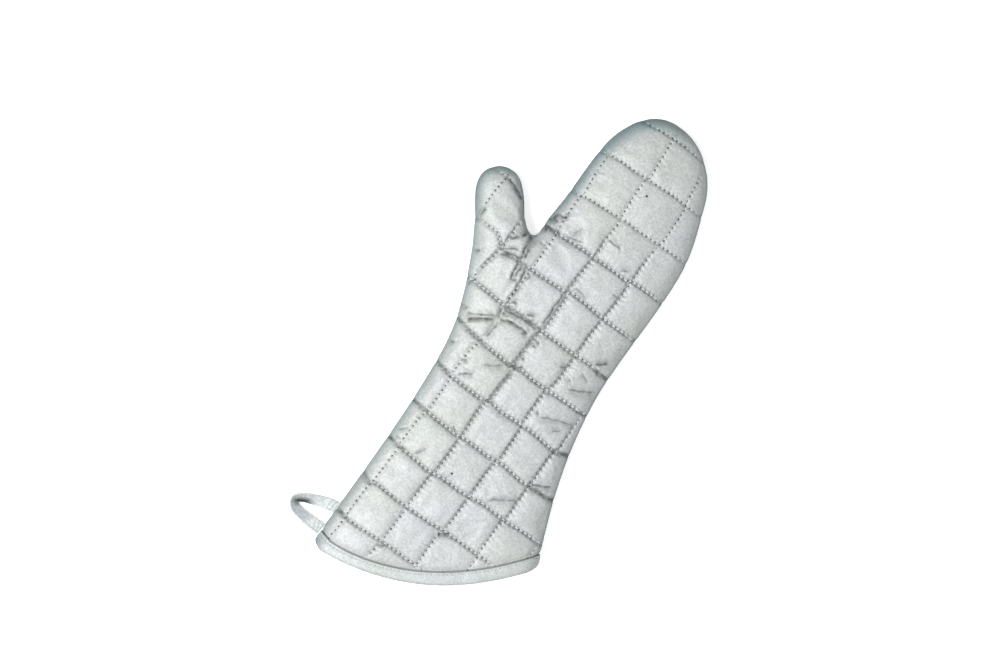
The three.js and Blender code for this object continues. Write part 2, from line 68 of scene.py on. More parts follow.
class Side(Enum):
    """Which of the two panels: the sign is the way that its outer face looks."""

    FRONT = 1
    BACK = -1


class Slot(Enum):
    """Three names for material slots, which nothing in the script uses."""

    CLOTH = "silver_cloth"
    CUFF = "cuff_tape"
    LOOP = "loop_tape"


@dataclass(frozen=True)
class Knot:
    """Point of an outline, with the direction of travel through it in degrees from +X."""

    x: float
    y: float
    heading: float


@dataclass(frozen=True)
class StitchRow:
    """Row of stitches: height at x = 0, rise per millimetre of x, and extra lift on the thumb.

    At each x in stray it runs so much higher than its straight course. Between each two x in
    hidden its stitches lie out of sight in a fold.
    """

    y: float
    slope: float
    thumb_lift: float = 0
    stray: tuple[Pair, ...] = ((0, 0),)
    hidden: tuple[Pair, ...] = ()


@dataclass(frozen=True)
class StitchColumn:
    """Column of stitches: its number from the middle one, and how deep it pulls the padding in.

    At each height in stray it runs so much further right than its straight course, and between
    each two heights in hidden its stitches lie out of sight.
    """

    number: int
    strength: float
    stray: tuple[Pair, ...] = ((0, 0),)
    hidden: tuple[Pair, ...] = ()


@dataclass(frozen=True)
class Crease:
    """Crease in the cloth along a path, with the cloth puffed up beside it.

    The puff lies to the left of the path's direction where it is above zero, and to the right
    where it is below.
    """

    path: tuple[Pair, ...]
    depth: float
    width: float = 0.9
    puff: float = 0
    ease: float = 3.5

    @cached_property
    def line(self) -> "Line":
        """The path as a line."""
        return Line(np.array(self.path))


@dataclass(frozen=True)
class TapeKnot:
    """Point on the loop's centre line; tilt is 90 where the tape lies flat and 0 on edge."""

    x: float
    y: float
    z: float
    tilt: float


# Side seam from the left cuff corner over the thumb and the fingertips to the right cuff corner
SIDE_KNOTS = (
    Knot(-60, -213, 87),  # left cuff corner
    Knot(-52.9, -65, 90),  # left forearm
    Knot(-57.8, -4, 103.5),  # wrist
    Knot(-74, 43, 111.5),  # thumb root
    Knot(-90, 74.5, 119.5),  # thumb
    Knot(-101.2, 100, 90),  # thumb side
    Knot(-82.5, 117.8, 0),  # thumb tip
    Knot(-63.5, 106, -51),  # inner thumb
    Knot(-52.7, 90.4, -50),  # thumb hollow
    Knot(-43, 82.6, -14),  # crotch
    Knot(-37.8, 89, 93),  # first finger root
    Knot(-35, 122, 85),  # first finger
    Knot(-31.4, 169, 82.5),  # first finger tip
    Knot(9, 216.5, 0),  # fingertips
    Knot(62, 174, -73),  # last finger tip
    Knot(74.5, 120, -87),  # last finger
    Knot(70, 9, -90),  # wrist, right
    Knot(83.2, -83, -75),  # right forearm
    Knot(101.3, -137, -70),  # right cuff corner
)

# Bottom edge of the cuff, and the upper edge of its tape, from left to right
CUFF_KNOTS = (
    Knot(-60, -213, -25),  # left corner
    Knot(-50, -216.5, 2.5),  # left
    Knot(46, -188, 32),  # middle
    Knot(94.5, -147, 46),  # right
    Knot(101.3, -137, 62),  # right corner
)
TAPE_KNOTS = (
    Knot(-59.5, -203.5, -12),  # left corner
    Knot(-44, -206.5, 2),  # left
    Knot(41.7, -178.5, 33),  # middle
    Knot(98, -127.5, 50),  # right corner
)

STITCH_ROWS = (
    StitchRow(204.8, -0.047, 0, ((-8, 0), (13, 1.6), (26, 1.3), (40, 0))),
    StitchRow(166.6, -0.034, 0, ((-28, 0), (-16, 1.2), (0, 0.6), (40, 1.4), (57, 0.3))),
    StitchRow(128.8, -0.03, 18, ((-27, -1), (-20, 0.7), (0, 0.7), (16, 1.8), (26, 0.7))),
    StitchRow(
        *(93, -0.035, 15, ((-34, 0), (0, 0.5), (21, 0), (41, -1), (44, 1.2), (66, 0.8))),
        hidden=((-77, -56), (-40, -23)),
    ),
    StitchRow(
        *(57.6, -0.0475, 9, ((-25, 0), (6, 0.7), (10, 2.8), (22, 2), (35, 0.8), (45, 0))),
        hidden=((-58, -31),),
    ),
    StitchRow(
        *(24.4, -0.08, 0, ((-55, -2), (-32, -3), (-15, -1.6), (30, -1.8), (50, -0.4), (65, -1.7))),
        hidden=((-31, 3), (57, 75)),
    ),
    StitchRow(
        *(-11, -0.08, 0, ((-56, 2), (-46, 0.3), (-27, -1.7), (-2, -2.7), (8, -0.4), (20, -1.7), (55, 0))),
        hidden=((-60, -24), (-7, 6), (62, 75)),
    ),
    StitchRow(
        *(-46.6, -0.074, 0),
        ((-51, 0.8), (-38, -1.2), (-22, -2), (-8, -2), (2, 0.5), (12, -1), (40, 0.6), (64, -1.7), (72, 1.8)),
        hidden=((-55, -36), (-5, 3), (61, 80)),
    ),
    StitchRow(
        *(-80.7, -0.063, 0),
        ((-50, 0), (-10, -2.4), (0, -1), (20, -1.5), (36, 0), (54, -2.4), (82, -0.6)),
        hidden=((-55, -37), (59, 90)),
    ),
    StitchRow(
        *(-115.1, -0.058, 0),
        ((-51, 0), (-13, -3.7), (0, -1.9), (18, -2.5), (38, 0), (58, -1), (78, 0)),
        hidden=((-55, -38),),
    ),
    StitchRow(
        *(-150, -0.046, 0),
        ((-54, 1), (-47, -2.2), (-42, 0), (-22, -1.5), (10, -1.6), (25, -0.4), (52, -0.9)),
        hidden=((-60, -45),),
    ),
    StitchRow(
        *(-184.3, -0.05, 0, ((-54, -1), (-45, -2), (-25, -1.5), (-6, -0.4), (12, -1.1))),
        hidden=((-60, -47),),
    ),
)

# Number, strength, and how far each column strays at each height; it jogs where it crosses a row
STITCH_COLUMNS = (
    StitchColumn(-3, 0.5, ((80, 3.1), (96, 3.5), (110, 5)), ((60, 82),)),
    StitchColumn(-2, 0.8),
    StitchColumn(
        -1,
        0.45,
        (
            *((-202, 0.9), (-192, 1.7), (-179, 0.6), (-153, 0.5), (-147, 1.6), (-118, 1.6), (-112, 0.3)),
            *((-86, 0.4), (-79, 2.6), (-51, 1.7), (-44, -0.4), (-20, 0), (-14, 1.2), (-7, 3.4), (12, 2.5)),
            *((22, -0.5), (61, 0.9), (90, 0.3), (97, -1.2), (126, -1.5), (134, 0), (151, -1.5)),
        ),
        ((-12, 27), (168, 205)),
    ),
    StitchColumn(
        0,
        1,
        (
            *((-203, -0.6), (-185, 1.4), (-158, 1.4), (-147, 0.6), (-125, 0.9), (-114, 2.5), (-80, 2)),
            *((-77, 1.7), (-58, 0.2), (-50, 0.5), (-45, 1.9), (-15, 2.2), (-9, -0.4), (14, -0.8), (22, 0.2)),
            *((27, 2.2), (55, 1.6), (62, -1.1), (75, -0.5), (97, 1.2), (110, 0), (126, 1.4), (134, 0)),
            *((151, -0.9), (165, -0.7), (170, 2), (178, 1), (200, -0.2)),
        ),
        ((-48, 27), (57, 72)),
    ),
    StitchColumn(
        1,
        0.95,
        (
            *((-182, -0.3), (-157, -1.1), (-148, 1), (-121, 1.2), (-94, 0.3), (-86, 1.1), (-79, 2.7)),
            *((-52, 1.1), (-45, -0.6), (-25, -1.7), (-15, -1.3), (-8, 1), (17, 0.4), (37, -0.6), (60, 0.8)),
            *((73, 1.5), (116, 1.3), (125, 2.4), (132, 4), (163, 3.8), (170, 1.5), (190, 0)),
        ),
    ),
    StitchColumn(
        2,
        0.8,
        (
            *((-166, -0.3), (-156, 0), (-150, -1.3), (-126, -2), (-117, 0), (-84, -1), (-60, -1.6)),
            *((-53, -0.4), (-48, 1), (-18, -1.5)),
        ),
    ),
    StitchColumn(3, 0.8, ((-137, -2), (-122, -1.9))),
)

# Creases of the front panel, read off the photograph: thumb, crotch, palm and wrist, then sleeve
CREASES = (
    Crease(((-84, 111.5), (-77, 110), (-71.5, 107.5), (-66, 104.5), (-61.5, 101)), 1.5, 1, 0.3),
    Crease(((-76, 107.4), (-70.5, 105), (-65.5, 101.8)), 0.8),
    Crease(((-84.8, 82), (-83.5, 77), (-83.8, 72)), 1.4, 0.9, 0.3),
    Crease(((-42.6, 84), (-41.2, 79), (-40.4, 72), (-39.4, 66), (-38.8, 60.5)), 3.4, 1.1, -0.3, 1.5),
    Crease(((-40.6, 84), (-38.6, 77), (-37.4, 70), (-36.8, 63)), 2.6, 0.9, -1, 1.5),
    Crease(((-43, 83.5), (-47, 78), (-51, 74), (-57, 69)), 1.6, 1, 0.7, 2),
    Crease(((-58, 60), (-50, 64), (-45, 66.5), (-42, 66)), 1.1, 0.9, -0.4),
    Crease(((-56, 56), (-50, 58.5), (-46, 61.5), (-42, 61.5), (-37, 60.8)), 1.7, 1, 0.5),
    Crease(((-39, 60), (-38.5, 53), (-38, 47), (-37.8, 42.5)), 1.7, 0.9, -0.5),
    Crease(((-35, 59), (-35.5, 52), (-35, 46.5)), 1.3, 0.8, 0.3),
    Crease(((-38, 42.5), (-32.5, 46.5)), 1, 0.8, 0.3, 2),
    Crease(((-33, 58), (-30.4, 53), (-32.4, 48)), 0.8, 0.8, 0.3),
    Crease(((-27.5, 57.5), (-26, 53), (-28, 48)), 0.8, 0.8, 0.3),
    Crease(((-38, 94.6), (-30, 94.4), (-23.9, 94.7)), 2.4, 1, 0.4, 1),
    Crease(((-37.5, 93), (-33, 90.2)), 1.3, 0.9, 0, 1),
    Crease(((-37, 99), (-34.5, 104), (-33.5, 106.9), (-27.8, 107.4), (-26.7, 112)), 2.2, 0.9, 0.3, 1),
    Crease(((-36.5, 102.5), (-28.5, 101.5)), 1.2, 2.4, 0, 3),
    Crease(((-37, 81), (-26.5, 80.3)), 0.5, 1, 0.2),
    Crease(((-20, 95.4), (-12, 96), (-4, 98.8)), 0.7, 0.9, 0.3),
    Crease(((-14, 96), (-13.6, 101), (-10, 109)), 0.4, 1.6),
    Crease(((9.5, 110.4), (18, 110), (25, 109)), 0.6, 0.8, -0.3),
    Crease(((32, 94), (35, 96.6), (40, 98.5)), 0.7, 0.9, -0.3),
    Crease(((36, 76.6), (41, 76), (44.5, 77.5)), 0.6),
    Crease(((8, 61), (11, 63.8), (17, 63.5), (21, 60.5)), 0.6, 0.9, 0.3),
    Crease(((-74.5, 48), (-69.5, 50.5)), 1.2, 1, 0.5, 2),
    Crease(((-61, 30), (-64, 26), (-64.5, 22)), 1.2, 1, -0.3, 2),
    Crease(((-61, 7), (-53.5, 6.4)), 1, 0.9, 0.3, 2),
    Crease(((-53.5, 3.8), (-47.5, 5.2)), 0.6, 0.8, 0, 2),
    Crease(((-53, -22.6), (-48, -21.8)), 1, 0.9, 0.3, 2),
    Crease(((-30.6, 57), (-30.4, 48), (-29.6, 38), (-30.4, 25)), 1.2, 0.8, -0.6, 2),
    Crease(((-29.5, 26.5), (-26, 29.6), (-21, 30.2)), 1.2, 0.9, -0.6),
    Crease(((-13, 24.5), (-8, 28.6), (-4, 29.4)), 1.2, 0.9, -0.5),
    Crease(((-31.8, 22), (-30.6, 17), (-29, 12)), 1.3, 0.9, 0.4, 2),
    Crease(((-29.5, 18.4), (-22, 18.4)), 1.2, 0.9, -0.4, 2),
    Crease(((-30.5, 11), (-37, 7.3), (-42, 4.2), (-47, 0.8), (-51, -2.2)), 2.3, 1, -1),
    Crease(((-31, 14), (-38, 9.8), (-47, 6)), 0.5, 0.9, 0.2),
    Crease(((-28.5, 12), (-22, 14.4), (-16, 15.2), (-9, 15.2), (-2.9, 14.1)), 1.8, 0.8, 0.7, 2),
    Crease(((-30.5, 20), (-24, 21), (-13.6, 22.4), (0, 22)), 0.9, 1.2, -0.5, 4),
    Crease(((-28, 11), (-28.3, 3), (-30.5, -7)), 0.8, 1.2, 0.4, 4),
    Crease(((-8.5, 11.6), (-3, 14.3)), 1.3, 0.9, 0.4, 2),
    Crease(((3.4, 57), (4.4, 52), (3.2, 45), (3.6, 35), (2.6, 26)), 1.3, 1, -0.3),
    Crease(((2.5, 14.4), (5.5, 13.3), (9.5, 11.4)), 1.2, 0.9, 0.4, 2),
    Crease(((1.5, 7.4), (8.5, 9.3)), 1, 0.9, -0.4, 2),
    Crease(((0.5, -5.2), (6.5, -3.8)), 1, 0.9, -0.3, 2),
    Crease(((1, -20.6), (5, -19.2)), 0.8, 0.9, 0, 1.5),
    Crease(((-6, -15), (0, -13.4), (5, -11.2)), 1.2, 0.9, -0.4, 2),
    Crease(((3, -12.6), (8.5, -9.8)), 1, 0.9, 0, 2),
    Crease(((-36, -30), (-32, -27.2)), 0.9, 0.8, 0.3, 1.5),
    Crease(((-34, -42.6), (-28, -38.4), (-21.5, -34.3)), 0.9, 0.9, 0.5),
    Crease(((-21, -25.4), (-12, -20.6), (-5, -16.4)), 0.5, 1.8, 0.4),
    Crease(((54, 21.4), (59, 24.4), (64, 29)), 2, 1.2, -0.9, 3),
    Crease(((57.5, 17.6), (69.5, 17.9)), 1.2, 1, 0.4, 2),
    Crease(((31.5, 6), (38, 8.4)), 1.1, 1.1, -0.4, 2),
    Crease(((46, -6.5), (54, -3), (67, 3.4)), 0.7, 2.2, 0.4),
    Crease(((41, 2), (47, -0.6)), 0.5, 1.4, 0.5),
    Crease(((49, 11), (58, 6.5)), 0.5, 1.5, 0.3),
    Crease(((39, -36), (54, -30.6), (67, -27.6)), 0.6, 1.8, 0.4),
    Crease(((53, -42), (60.5, -34.6)), 0.6, 1.4, -0.3),
    Crease(((35, -32), (38.5, -35.5)), 0.7, 0.9, 0.4, 1.5),
    Crease(((34, -18.4), (37.5, -14.6)), 0.8, 0.9, 0, 1.5),
    Crease(((62, -54), (66.5, -51.8), (75.5, -49.6)), 1.5, 1, 0.4, 2),
    Crease(((-15, -77), (-12.8, -79.6), (-8.5, -83.5)), 0.9, 0.9, 0.3, 2),
    Crease(((59, -84.6), (66, -83), (71, -81), (77, -78.2)), 1.5, 1, 0.5, 2),
    Crease(((61, -88), (69, -85.6), (76, -86), (84, -86.6)), 1.1, 0.9, 0, 2),
    Crease(((39, -113.6), (47, -108), (60, -100.6)), 0.5, 2, 0.4),
    Crease(((-29, -114), (-25.5, -108), (-22, -104)), 0.5, 1.4, 0.3),
    Crease(((-50, -103), (-43.5, -97.6)), 0.7, 1.2, 0.3, 2),
    Crease(((-49.5, -108.5), (-44, -108.6)), 0.7, 1.2, 0, 2),
    Crease(((61, -118), (57.8, -120.8), (56.3, -124.5)), 1, 0.9, 0, 2),
    Crease(((28, -151.4), (22.4, -154.8), (20.2, -158.5)), 1.6, 1, -0.4, 2),
    Crease(((-16, -187.8), (-12, -186.8), (-8.5, -184.4)), 1.2, 1, -0.3, 2),
    Crease(((-55, -146.6), (-51, -149.6), (-45, -151)), 1.3, 1, 0.3, 2),
    Crease(((-58, -180), (-54, -182.2), (-48, -182.6)), 1.2, 1, 0.3, 2),
)

LOOP_KNOTS = (
    TapeKnot(-58.6, -182, 11, 90),
    TapeKnot(-66, -183, 10.4, 84),
    TapeKnot(-76, -186, 8.6, 68),
    TapeKnot(-85.4, -189.6, 6.6, 50),
    TapeKnot(-90.4, -194.2, 5.8, 36),
    TapeKnot(-86.6, -199, 6.6, 50),
    TapeKnot(-77, -201.4, 8.6, 62),
    TapeKnot(-68, -202.4, 10.4, 84),
    TapeKnot(-60, -202.8, 11, 90),
)


def linear(colour: str) -> tuple[float, float, float, float]:
    """Turn an sRGB hex colour into the linear RGBA that a shader takes.

    Args:
        colour: six hex digits, red first.

    Returns:
        Linear red, green, blue, and full alpha.
    """
    channels = [int(colour[i : i + 2], 16) / 255 for i in (0, 2, 4)]
    steps = [c / 12.92 if c <= 0.04045 else ((c + 0.055) / 1.055) ** 2.4 for c in channels]
    return (steps[0], steps[1], steps[2], 1.0)


def smoothstep(t: Array) -> Array:
    """Rise from 0 at t = 0 to 1 at t = 1, level at both ends."""
    t = np.clip(t, 0, 1)
    return t * t * (3 - 2 * t)


def ramp(values: Array, start: float, over: float) -> Array:
    """Rise smoothly from 0 at start to 1 so far past it, or so far before it where over is minus."""
    return smoothstep((values - start) / over)


def bell(values: Array, width: float, centre: float = 0) -> Array:
    """Bell curve: 1 at its centre, and about a third a width away from it."""
    return np.exp(-(((values - centre) / width) ** 2))


def changing(value: Pair, wave: Array) -> Array:
    """A value that changes along with a wave."""
    return value[0] + value[1] * wave


def runs_along(points: Array) -> Array:
    """How far along a row of points each of them lies."""
    return np.concatenate([[0], np.cumsum(np.linalg.norm(np.diff(points, axis=0), axis=1))])


def nearest_foot(points: Array, places: Array) -> tuple[Array, Array, Array, Array]:
    """Find the nearest point of a polyline to each place.

    Args:
        points: the polyline.
        places: rows of x and y.

    Returns:
        For each place the nearest stretch, how far along it the point lies from 0 to 1, its
        distance, and the way from the stretch's start to the place.
    """
    step = np.diff(points, axis=0)
    gap = places[:, None] - points[None, :-1]
    t = np.clip((gap * step).sum(2) / (step**2).sum(1), 0, 1)
    distance2 = ((gap - t[..., None] * step) ** 2).sum(2)
    best = distance2.argmin(1)
    rows = np.arange(len(places))
    return best, t[rows, best], np.sqrt(distance2[rows, best]), gap[rows, best]


def quarter_round(t: Array) -> Array:
    """Quarter of an ellipse: 0 at t = 0, where it stands upright, and 1 from t = 1 on."""
    return np.sqrt(1 - (1 - np.clip(t, 0, 1)) ** 2)


def quarter_round_slope(t: Array) -> Array:
    """Slope of quarter_round, held finite at its upright end."""
    left = 1 - np.clip(t, 1e-4, 1)
    return left / np.sqrt(1 - left**2)


def unit(vectors: Array) -> Array:
    """Scale each row of an array to length 1."""
    return vectors / np.linalg.norm(vectors, axis=-1, keepdims=True)


def uneven(run: Array, length: float, seed: float) -> Array:
    """Smooth irregular wave, the same each time.

    Args:
        run: places along a line.
        length: about how far apart its crests are.
        seed: sets one line's wave apart from another's.

    Returns:
        Values between about -1 and 1.
    """
    turn = 2 * math.pi * run / length
    waves = (
        np.sin(turn + 1.7 * seed)
        + 0.6 * np.sin(1.618 * turn + 4.1 * seed)
        + 0.5 * np.sin(0.557 * turn + 2.3 * seed)
    )
    return waves / 2.1


class Line:
    """Polyline in plan that gives places by their distance along it."""

    def __init__(self, points: Array) -> None:
        """Keep the points and work out how far along each lies."""
        self.points = np.asarray(points, float)
        self.runs = runs_along(self.points)

    @classmethod
    def through(cls, knots: Sequence[Knot], fineness: int = 60) -> "Line":
        """Draw the cubic curve through knots that circular arcs between them would give.

        Args:
            knots: the knots in order of travel.
            fineness: how many steps each stretch between two knots takes.

        Returns:
            The curve as a fine polyline.
        """
        t = np.linspace(0, 1, fineness, endpoint=False)[:, None]
        pieces = []
        for start, end in zip(knots, knots[1:]):
            a, b = np.array([start.x, start.y]), np.array([end.x, end.y])
            turned = abs(end.heading - start.heading) % 360
            turn = math.radians(max(min(turned, 360 - turned), 1))
            handle = math.dist(a, b) * 2 * math.tan(turn / 4) / (3 * math.sin(turn / 2))
            leave, arrive = (
                np.array([math.cos(math.radians(k.heading)), math.sin(math.radians(k.heading))])
                for k in (start, end)
            )
            c, d = a + handle * leave, b - handle * arrive
            pieces.append((1 - t) ** 3 * a + 3 * (1 - t) ** 2 * t * c + 3 * (1 - t) * t**2 * d + t**3 * b)
        pieces.append(np.array([[knots[-1].x, knots[-1].y]]))
        return cls(np.concatenate(pieces))

    @property
    def length(self) -> float:
        """Length of the line."""
        return float(self.runs[-1])

    def at(self, runs: Array) -> Array:
        """Places at distances along the line."""
        return np.stack([np.interp(runs, self.runs, self.points[:, i]) for i in (0, 1)], axis=-1)

    def tangent(self, runs: Array) -> Array:
        """Directions of travel at distances along the line."""
        return unit(self.at(np.asarray(runs) + 0.5) - self.at(np.asarray(runs) - 0.5))

    def even(self, step: float) -> Array:
        """Places about a step apart, with both ends."""
        return self.at(np.linspace(0, self.length, max(2, round(self.length / step) + 1)))

    def beside(self, step: float, offsets: Sequence[float]) -> Array:
        """Places along the line and to both sides of it.

        Args:
            step: distance between places along the line.
            offsets: how far to the left of the line each row of places lies.

        Returns:
            Rows of x and y, nearest offset first.
        """
        runs = np.linspace(0, self.length, max(2, round(self.length / step) + 1))
        course, along = self.at(runs), self.tangent(runs)
        across = np.stack([-along[:, 1], along[:, 0]], axis=1)
        return np.concatenate([course + across * offset for offset in offsets])

    def offset_of(self, places: Array) -> tuple[Array, Array]:
        """Find where places lie beside the line.

        Args:
            places: rows of x and y.

        Returns:
            How far left of the line each lies, and how far along it. Past an end the offset is
            the distance to that end.
        """
        best, t, distance, gap = nearest_foot(self.points, places)
        step = np.diff(self.points, axis=0)[best]
        turn = step[:, 0] * gap[:, 1] - step[:, 1] * gap[:, 0]
        return np.where(turn < 0, -1, 1) * distance, self.runs[best] + t * np.linalg.norm(step, axis=1)


@dataclass(frozen=True)
class Near:
    """Nearest points of the seam to some places: distance, direction of travel and foot."""

    distance: Array
    along: Array
    foot: Array


@dataclass
class Seam:
    """Side seam and the distances from it.

    The seam is drawn on straight past both cuff corners, so that the distance is also right at
    the cuff.
    """

    step: float = 1.5
    overrun: float = 90
    chunk: int = 2500
    line: Line = field(default_factory=lambda: Line.through(SIDE_KNOTS))

    @cached_property
    def points(self) -> Array:
        """The seam as a fine row of points, with the straight stretches past its ends."""
        seam = self.line.even(self.step)
        beyond = np.arange(1, round(self.overrun / self.step) + 1)[:, None] * self.step
        before = seam[0] + beyond * unit(seam[0] - seam[1])
        after = seam[-1] + beyond * unit(seam[-1] - seam[-2])
        return np.concatenate([before[::-1], seam, after])

    def near(self, places: Array) -> Near:
        """Find the nearest point of the seam to each place.

        Args:
            places: rows of x and y.

        Returns:
            Distance, direction and foot for each row.
        """
        found = []
        for first in range(0, len(places), self.chunk):
            best, t, distance, _ = nearest_foot(self.points, places[first : first + self.chunk])
            step = np.diff(self.points, axis=0)[best]
            found.append((distance, unit(step), self.points[best] + t[:, None] * step))
        return Near(*(np.concatenate(column) for column in zip(*found)))

    def reach(self, places: Array) -> tuple[Array, Array]:
        """Work out a smooth distance from the seam that levels off between two seams.

        Args:
            places: rows of x and y.

        Returns:
            The smooth distance and its gradient.
        """
        middle = (self.points[:-1] + self.points[1:]) / 2
        length = np.linalg.norm(np.diff(self.points, axis=0), axis=1)
        sums, slopes = [], []
        for first in range(0, len(places), self.chunk):
            gap = places[first : first + self.chunk, None] - middle[None]
            gap2 = np.maximum((gap**2).sum(2), 1e-8)
            sums.append((length / gap2**2).sum(1))
            slopes.append((-4 * (length / gap2**3)[..., None] * gap).sum(1))
        total = np.concatenate(sums)
        reach = np.cbrt(math.pi / 2 / total)
        return reach, -np.concatenate(slopes) * (reach / total / 3)[:, None]


@dataclass
class Quilting:
    """Stitched lines of the quilting."""

    pitch: float = 34.6
    stitch: float = STITCH
    # Half the width and height that the lines are drawn over
    half_width: float = 115
    half_height: float = 225
    # Where the thumb starts, and where the rows lift on to it, as ramps in x and y
    thumb_x: Pair = (-57, -6)
    thumb_y: Pair = (62, 8)
    thumb_ease: float = 0.58
    lift_x: Pair = (-52, -16)
    # The crotch pleat draws in the columns left of it
    pleat_take_up: float = 7
    pleat_x: Pair = (-38, -20)
    pleat_y: Pair = (20, 50)
    rows: tuple[StitchRow, ...] = STITCH_ROWS
    columns: tuple[StitchColumn, ...] = STITCH_COLUMNS
    # Course of the middle column: its x at each y
    bend_y: Floats = (-219, -184, -118, -47, 21, 94, 167, 243)
    bend_x: Floats = (-19, -15.5, -9.5, -3.2, 3.9, 8.7, 11.8, 15)
    # How deep the stitches pull the padding in, by height: gently in the sleeve's end and fingers
    deep_y: Floats = (-216, -140, -105, 96, 118, 216)
    deep_share: Floats = (0.5, 0.6, 1, 1, 0.42, 0.4)

    def deepness(self, places: Array) -> Array:
        """How deep the stitches pull at each place, gently on the thumb too."""
        thumb = ramp(places[:, 0], *self.thumb_x) * ramp(places[:, 1], *self.thumb_y)
        return np.interp(places[:, 1], self.deep_y, self.deep_share) * (1 - self.thumb_ease * thumb)

    def row_height(self, row: StitchRow, x: Array) -> Array:
        """Height of a row of stitches at each x."""
        stray = np.interp(x, *zip(*row.stray))
        return row.y + row.slope * x + row.thumb_lift * ramp(x, *self.lift_x) + stray

    def column_place(self, column: StitchColumn, y: Array) -> Array:
        """x of a column of stitches at each height, drawn in left of the crotch pleat."""
        straight = np.interp(y, self.bend_y, self.bend_x) + column.number * self.pitch
        drawn_in = ramp(y, *self.pleat_y) * ramp(straight, *self.pleat_x)
        return straight + self.pleat_take_up * drawn_in + np.interp(y, *zip(*column.stray))

    @cached_property
    def row_lines(self) -> list[Line]:
        """Rows of stitches, from left to right."""
        x = np.arange(-self.half_width, self.half_width + 0.1, 1.0)
        return [Line(np.stack([x, self.row_height(row, x)], axis=1)) for row in self.rows]

    @cached_property
    def column_lines(self) -> list[Line]:
        """Columns of stitches, from the cuff up."""
        y = np.arange(-self.half_height, self.half_height + 0.1, 1.0)
        return [Line(np.stack([self.column_place(c, y), y], axis=1)) for c in self.columns]

    def beside(self, places: Array) -> "tuple[Stitched, Stitched]":
        """Find the nearest row and the nearest column of stitches to each place."""
        rows = self.nearest(self.row_lines, self.rows, places, 0)
        return rows, self.nearest(self.column_lines, self.columns, places, 1)

    @staticmethod
    def nearest(
        lines: list[Line], sewn: Sequence[StitchRow | StitchColumn], places: Array, axis: int
    ) -> "Stitched":
        """Find the nearest of several like lines to each place.

        Args:
            lines: rows or columns of stitches.
            sewn: what was sewn along each.
            places: rows of x and y.
            axis: the axis along which the lines run, 0 or 1.

        Returns:
            Where the places lie beside their nearest line.
        """
        gaps, runs, hidden = [], [], []
        for line, stitches in zip(lines, sewn):
            hidden.append(Quilting.is_hidden(stitches, places[:, axis]))
            course = line.points[:, axis]
            across = np.interp(places[:, axis], course, line.points[:, 1 - axis])
            slope = np.gradient(line.points[:, 1 - axis], course)
            lean = np.hypot(1, np.interp(places[:, axis], course, slope))
            gaps.append((places[:, 1 - axis] - across) / lean)
            runs.append(np.interp(places[:, axis], course, line.runs))
        gap, run = np.stack(gaps), np.stack(runs)
        number = np.abs(gap).argmin(0)
        rows = np.arange(len(places))
        side, is_hidden = gap[number, rows], np.stack(hidden)[number, rows]
        return Stitched(np.abs(side), run[number, rows], number, side, is_hidden)

    @staticmethod
    def is_hidden(stitches: StitchRow | StitchColumn, course: Array) -> Array:
        """Say where along its course a line's stitches are out of sight."""
        found = np.zeros(np.shape(course), bool)
        for low, high in stitches.hidden:
            found |= (course > low) & (course < high)
        return found


@dataclass(frozen=True)
class Stitched:
    """Where places lie beside their nearest line of stitches: gap is without sign, side with it."""

    gap: Array
    run: Array
    number: Array
    side: Array
    hidden: Array


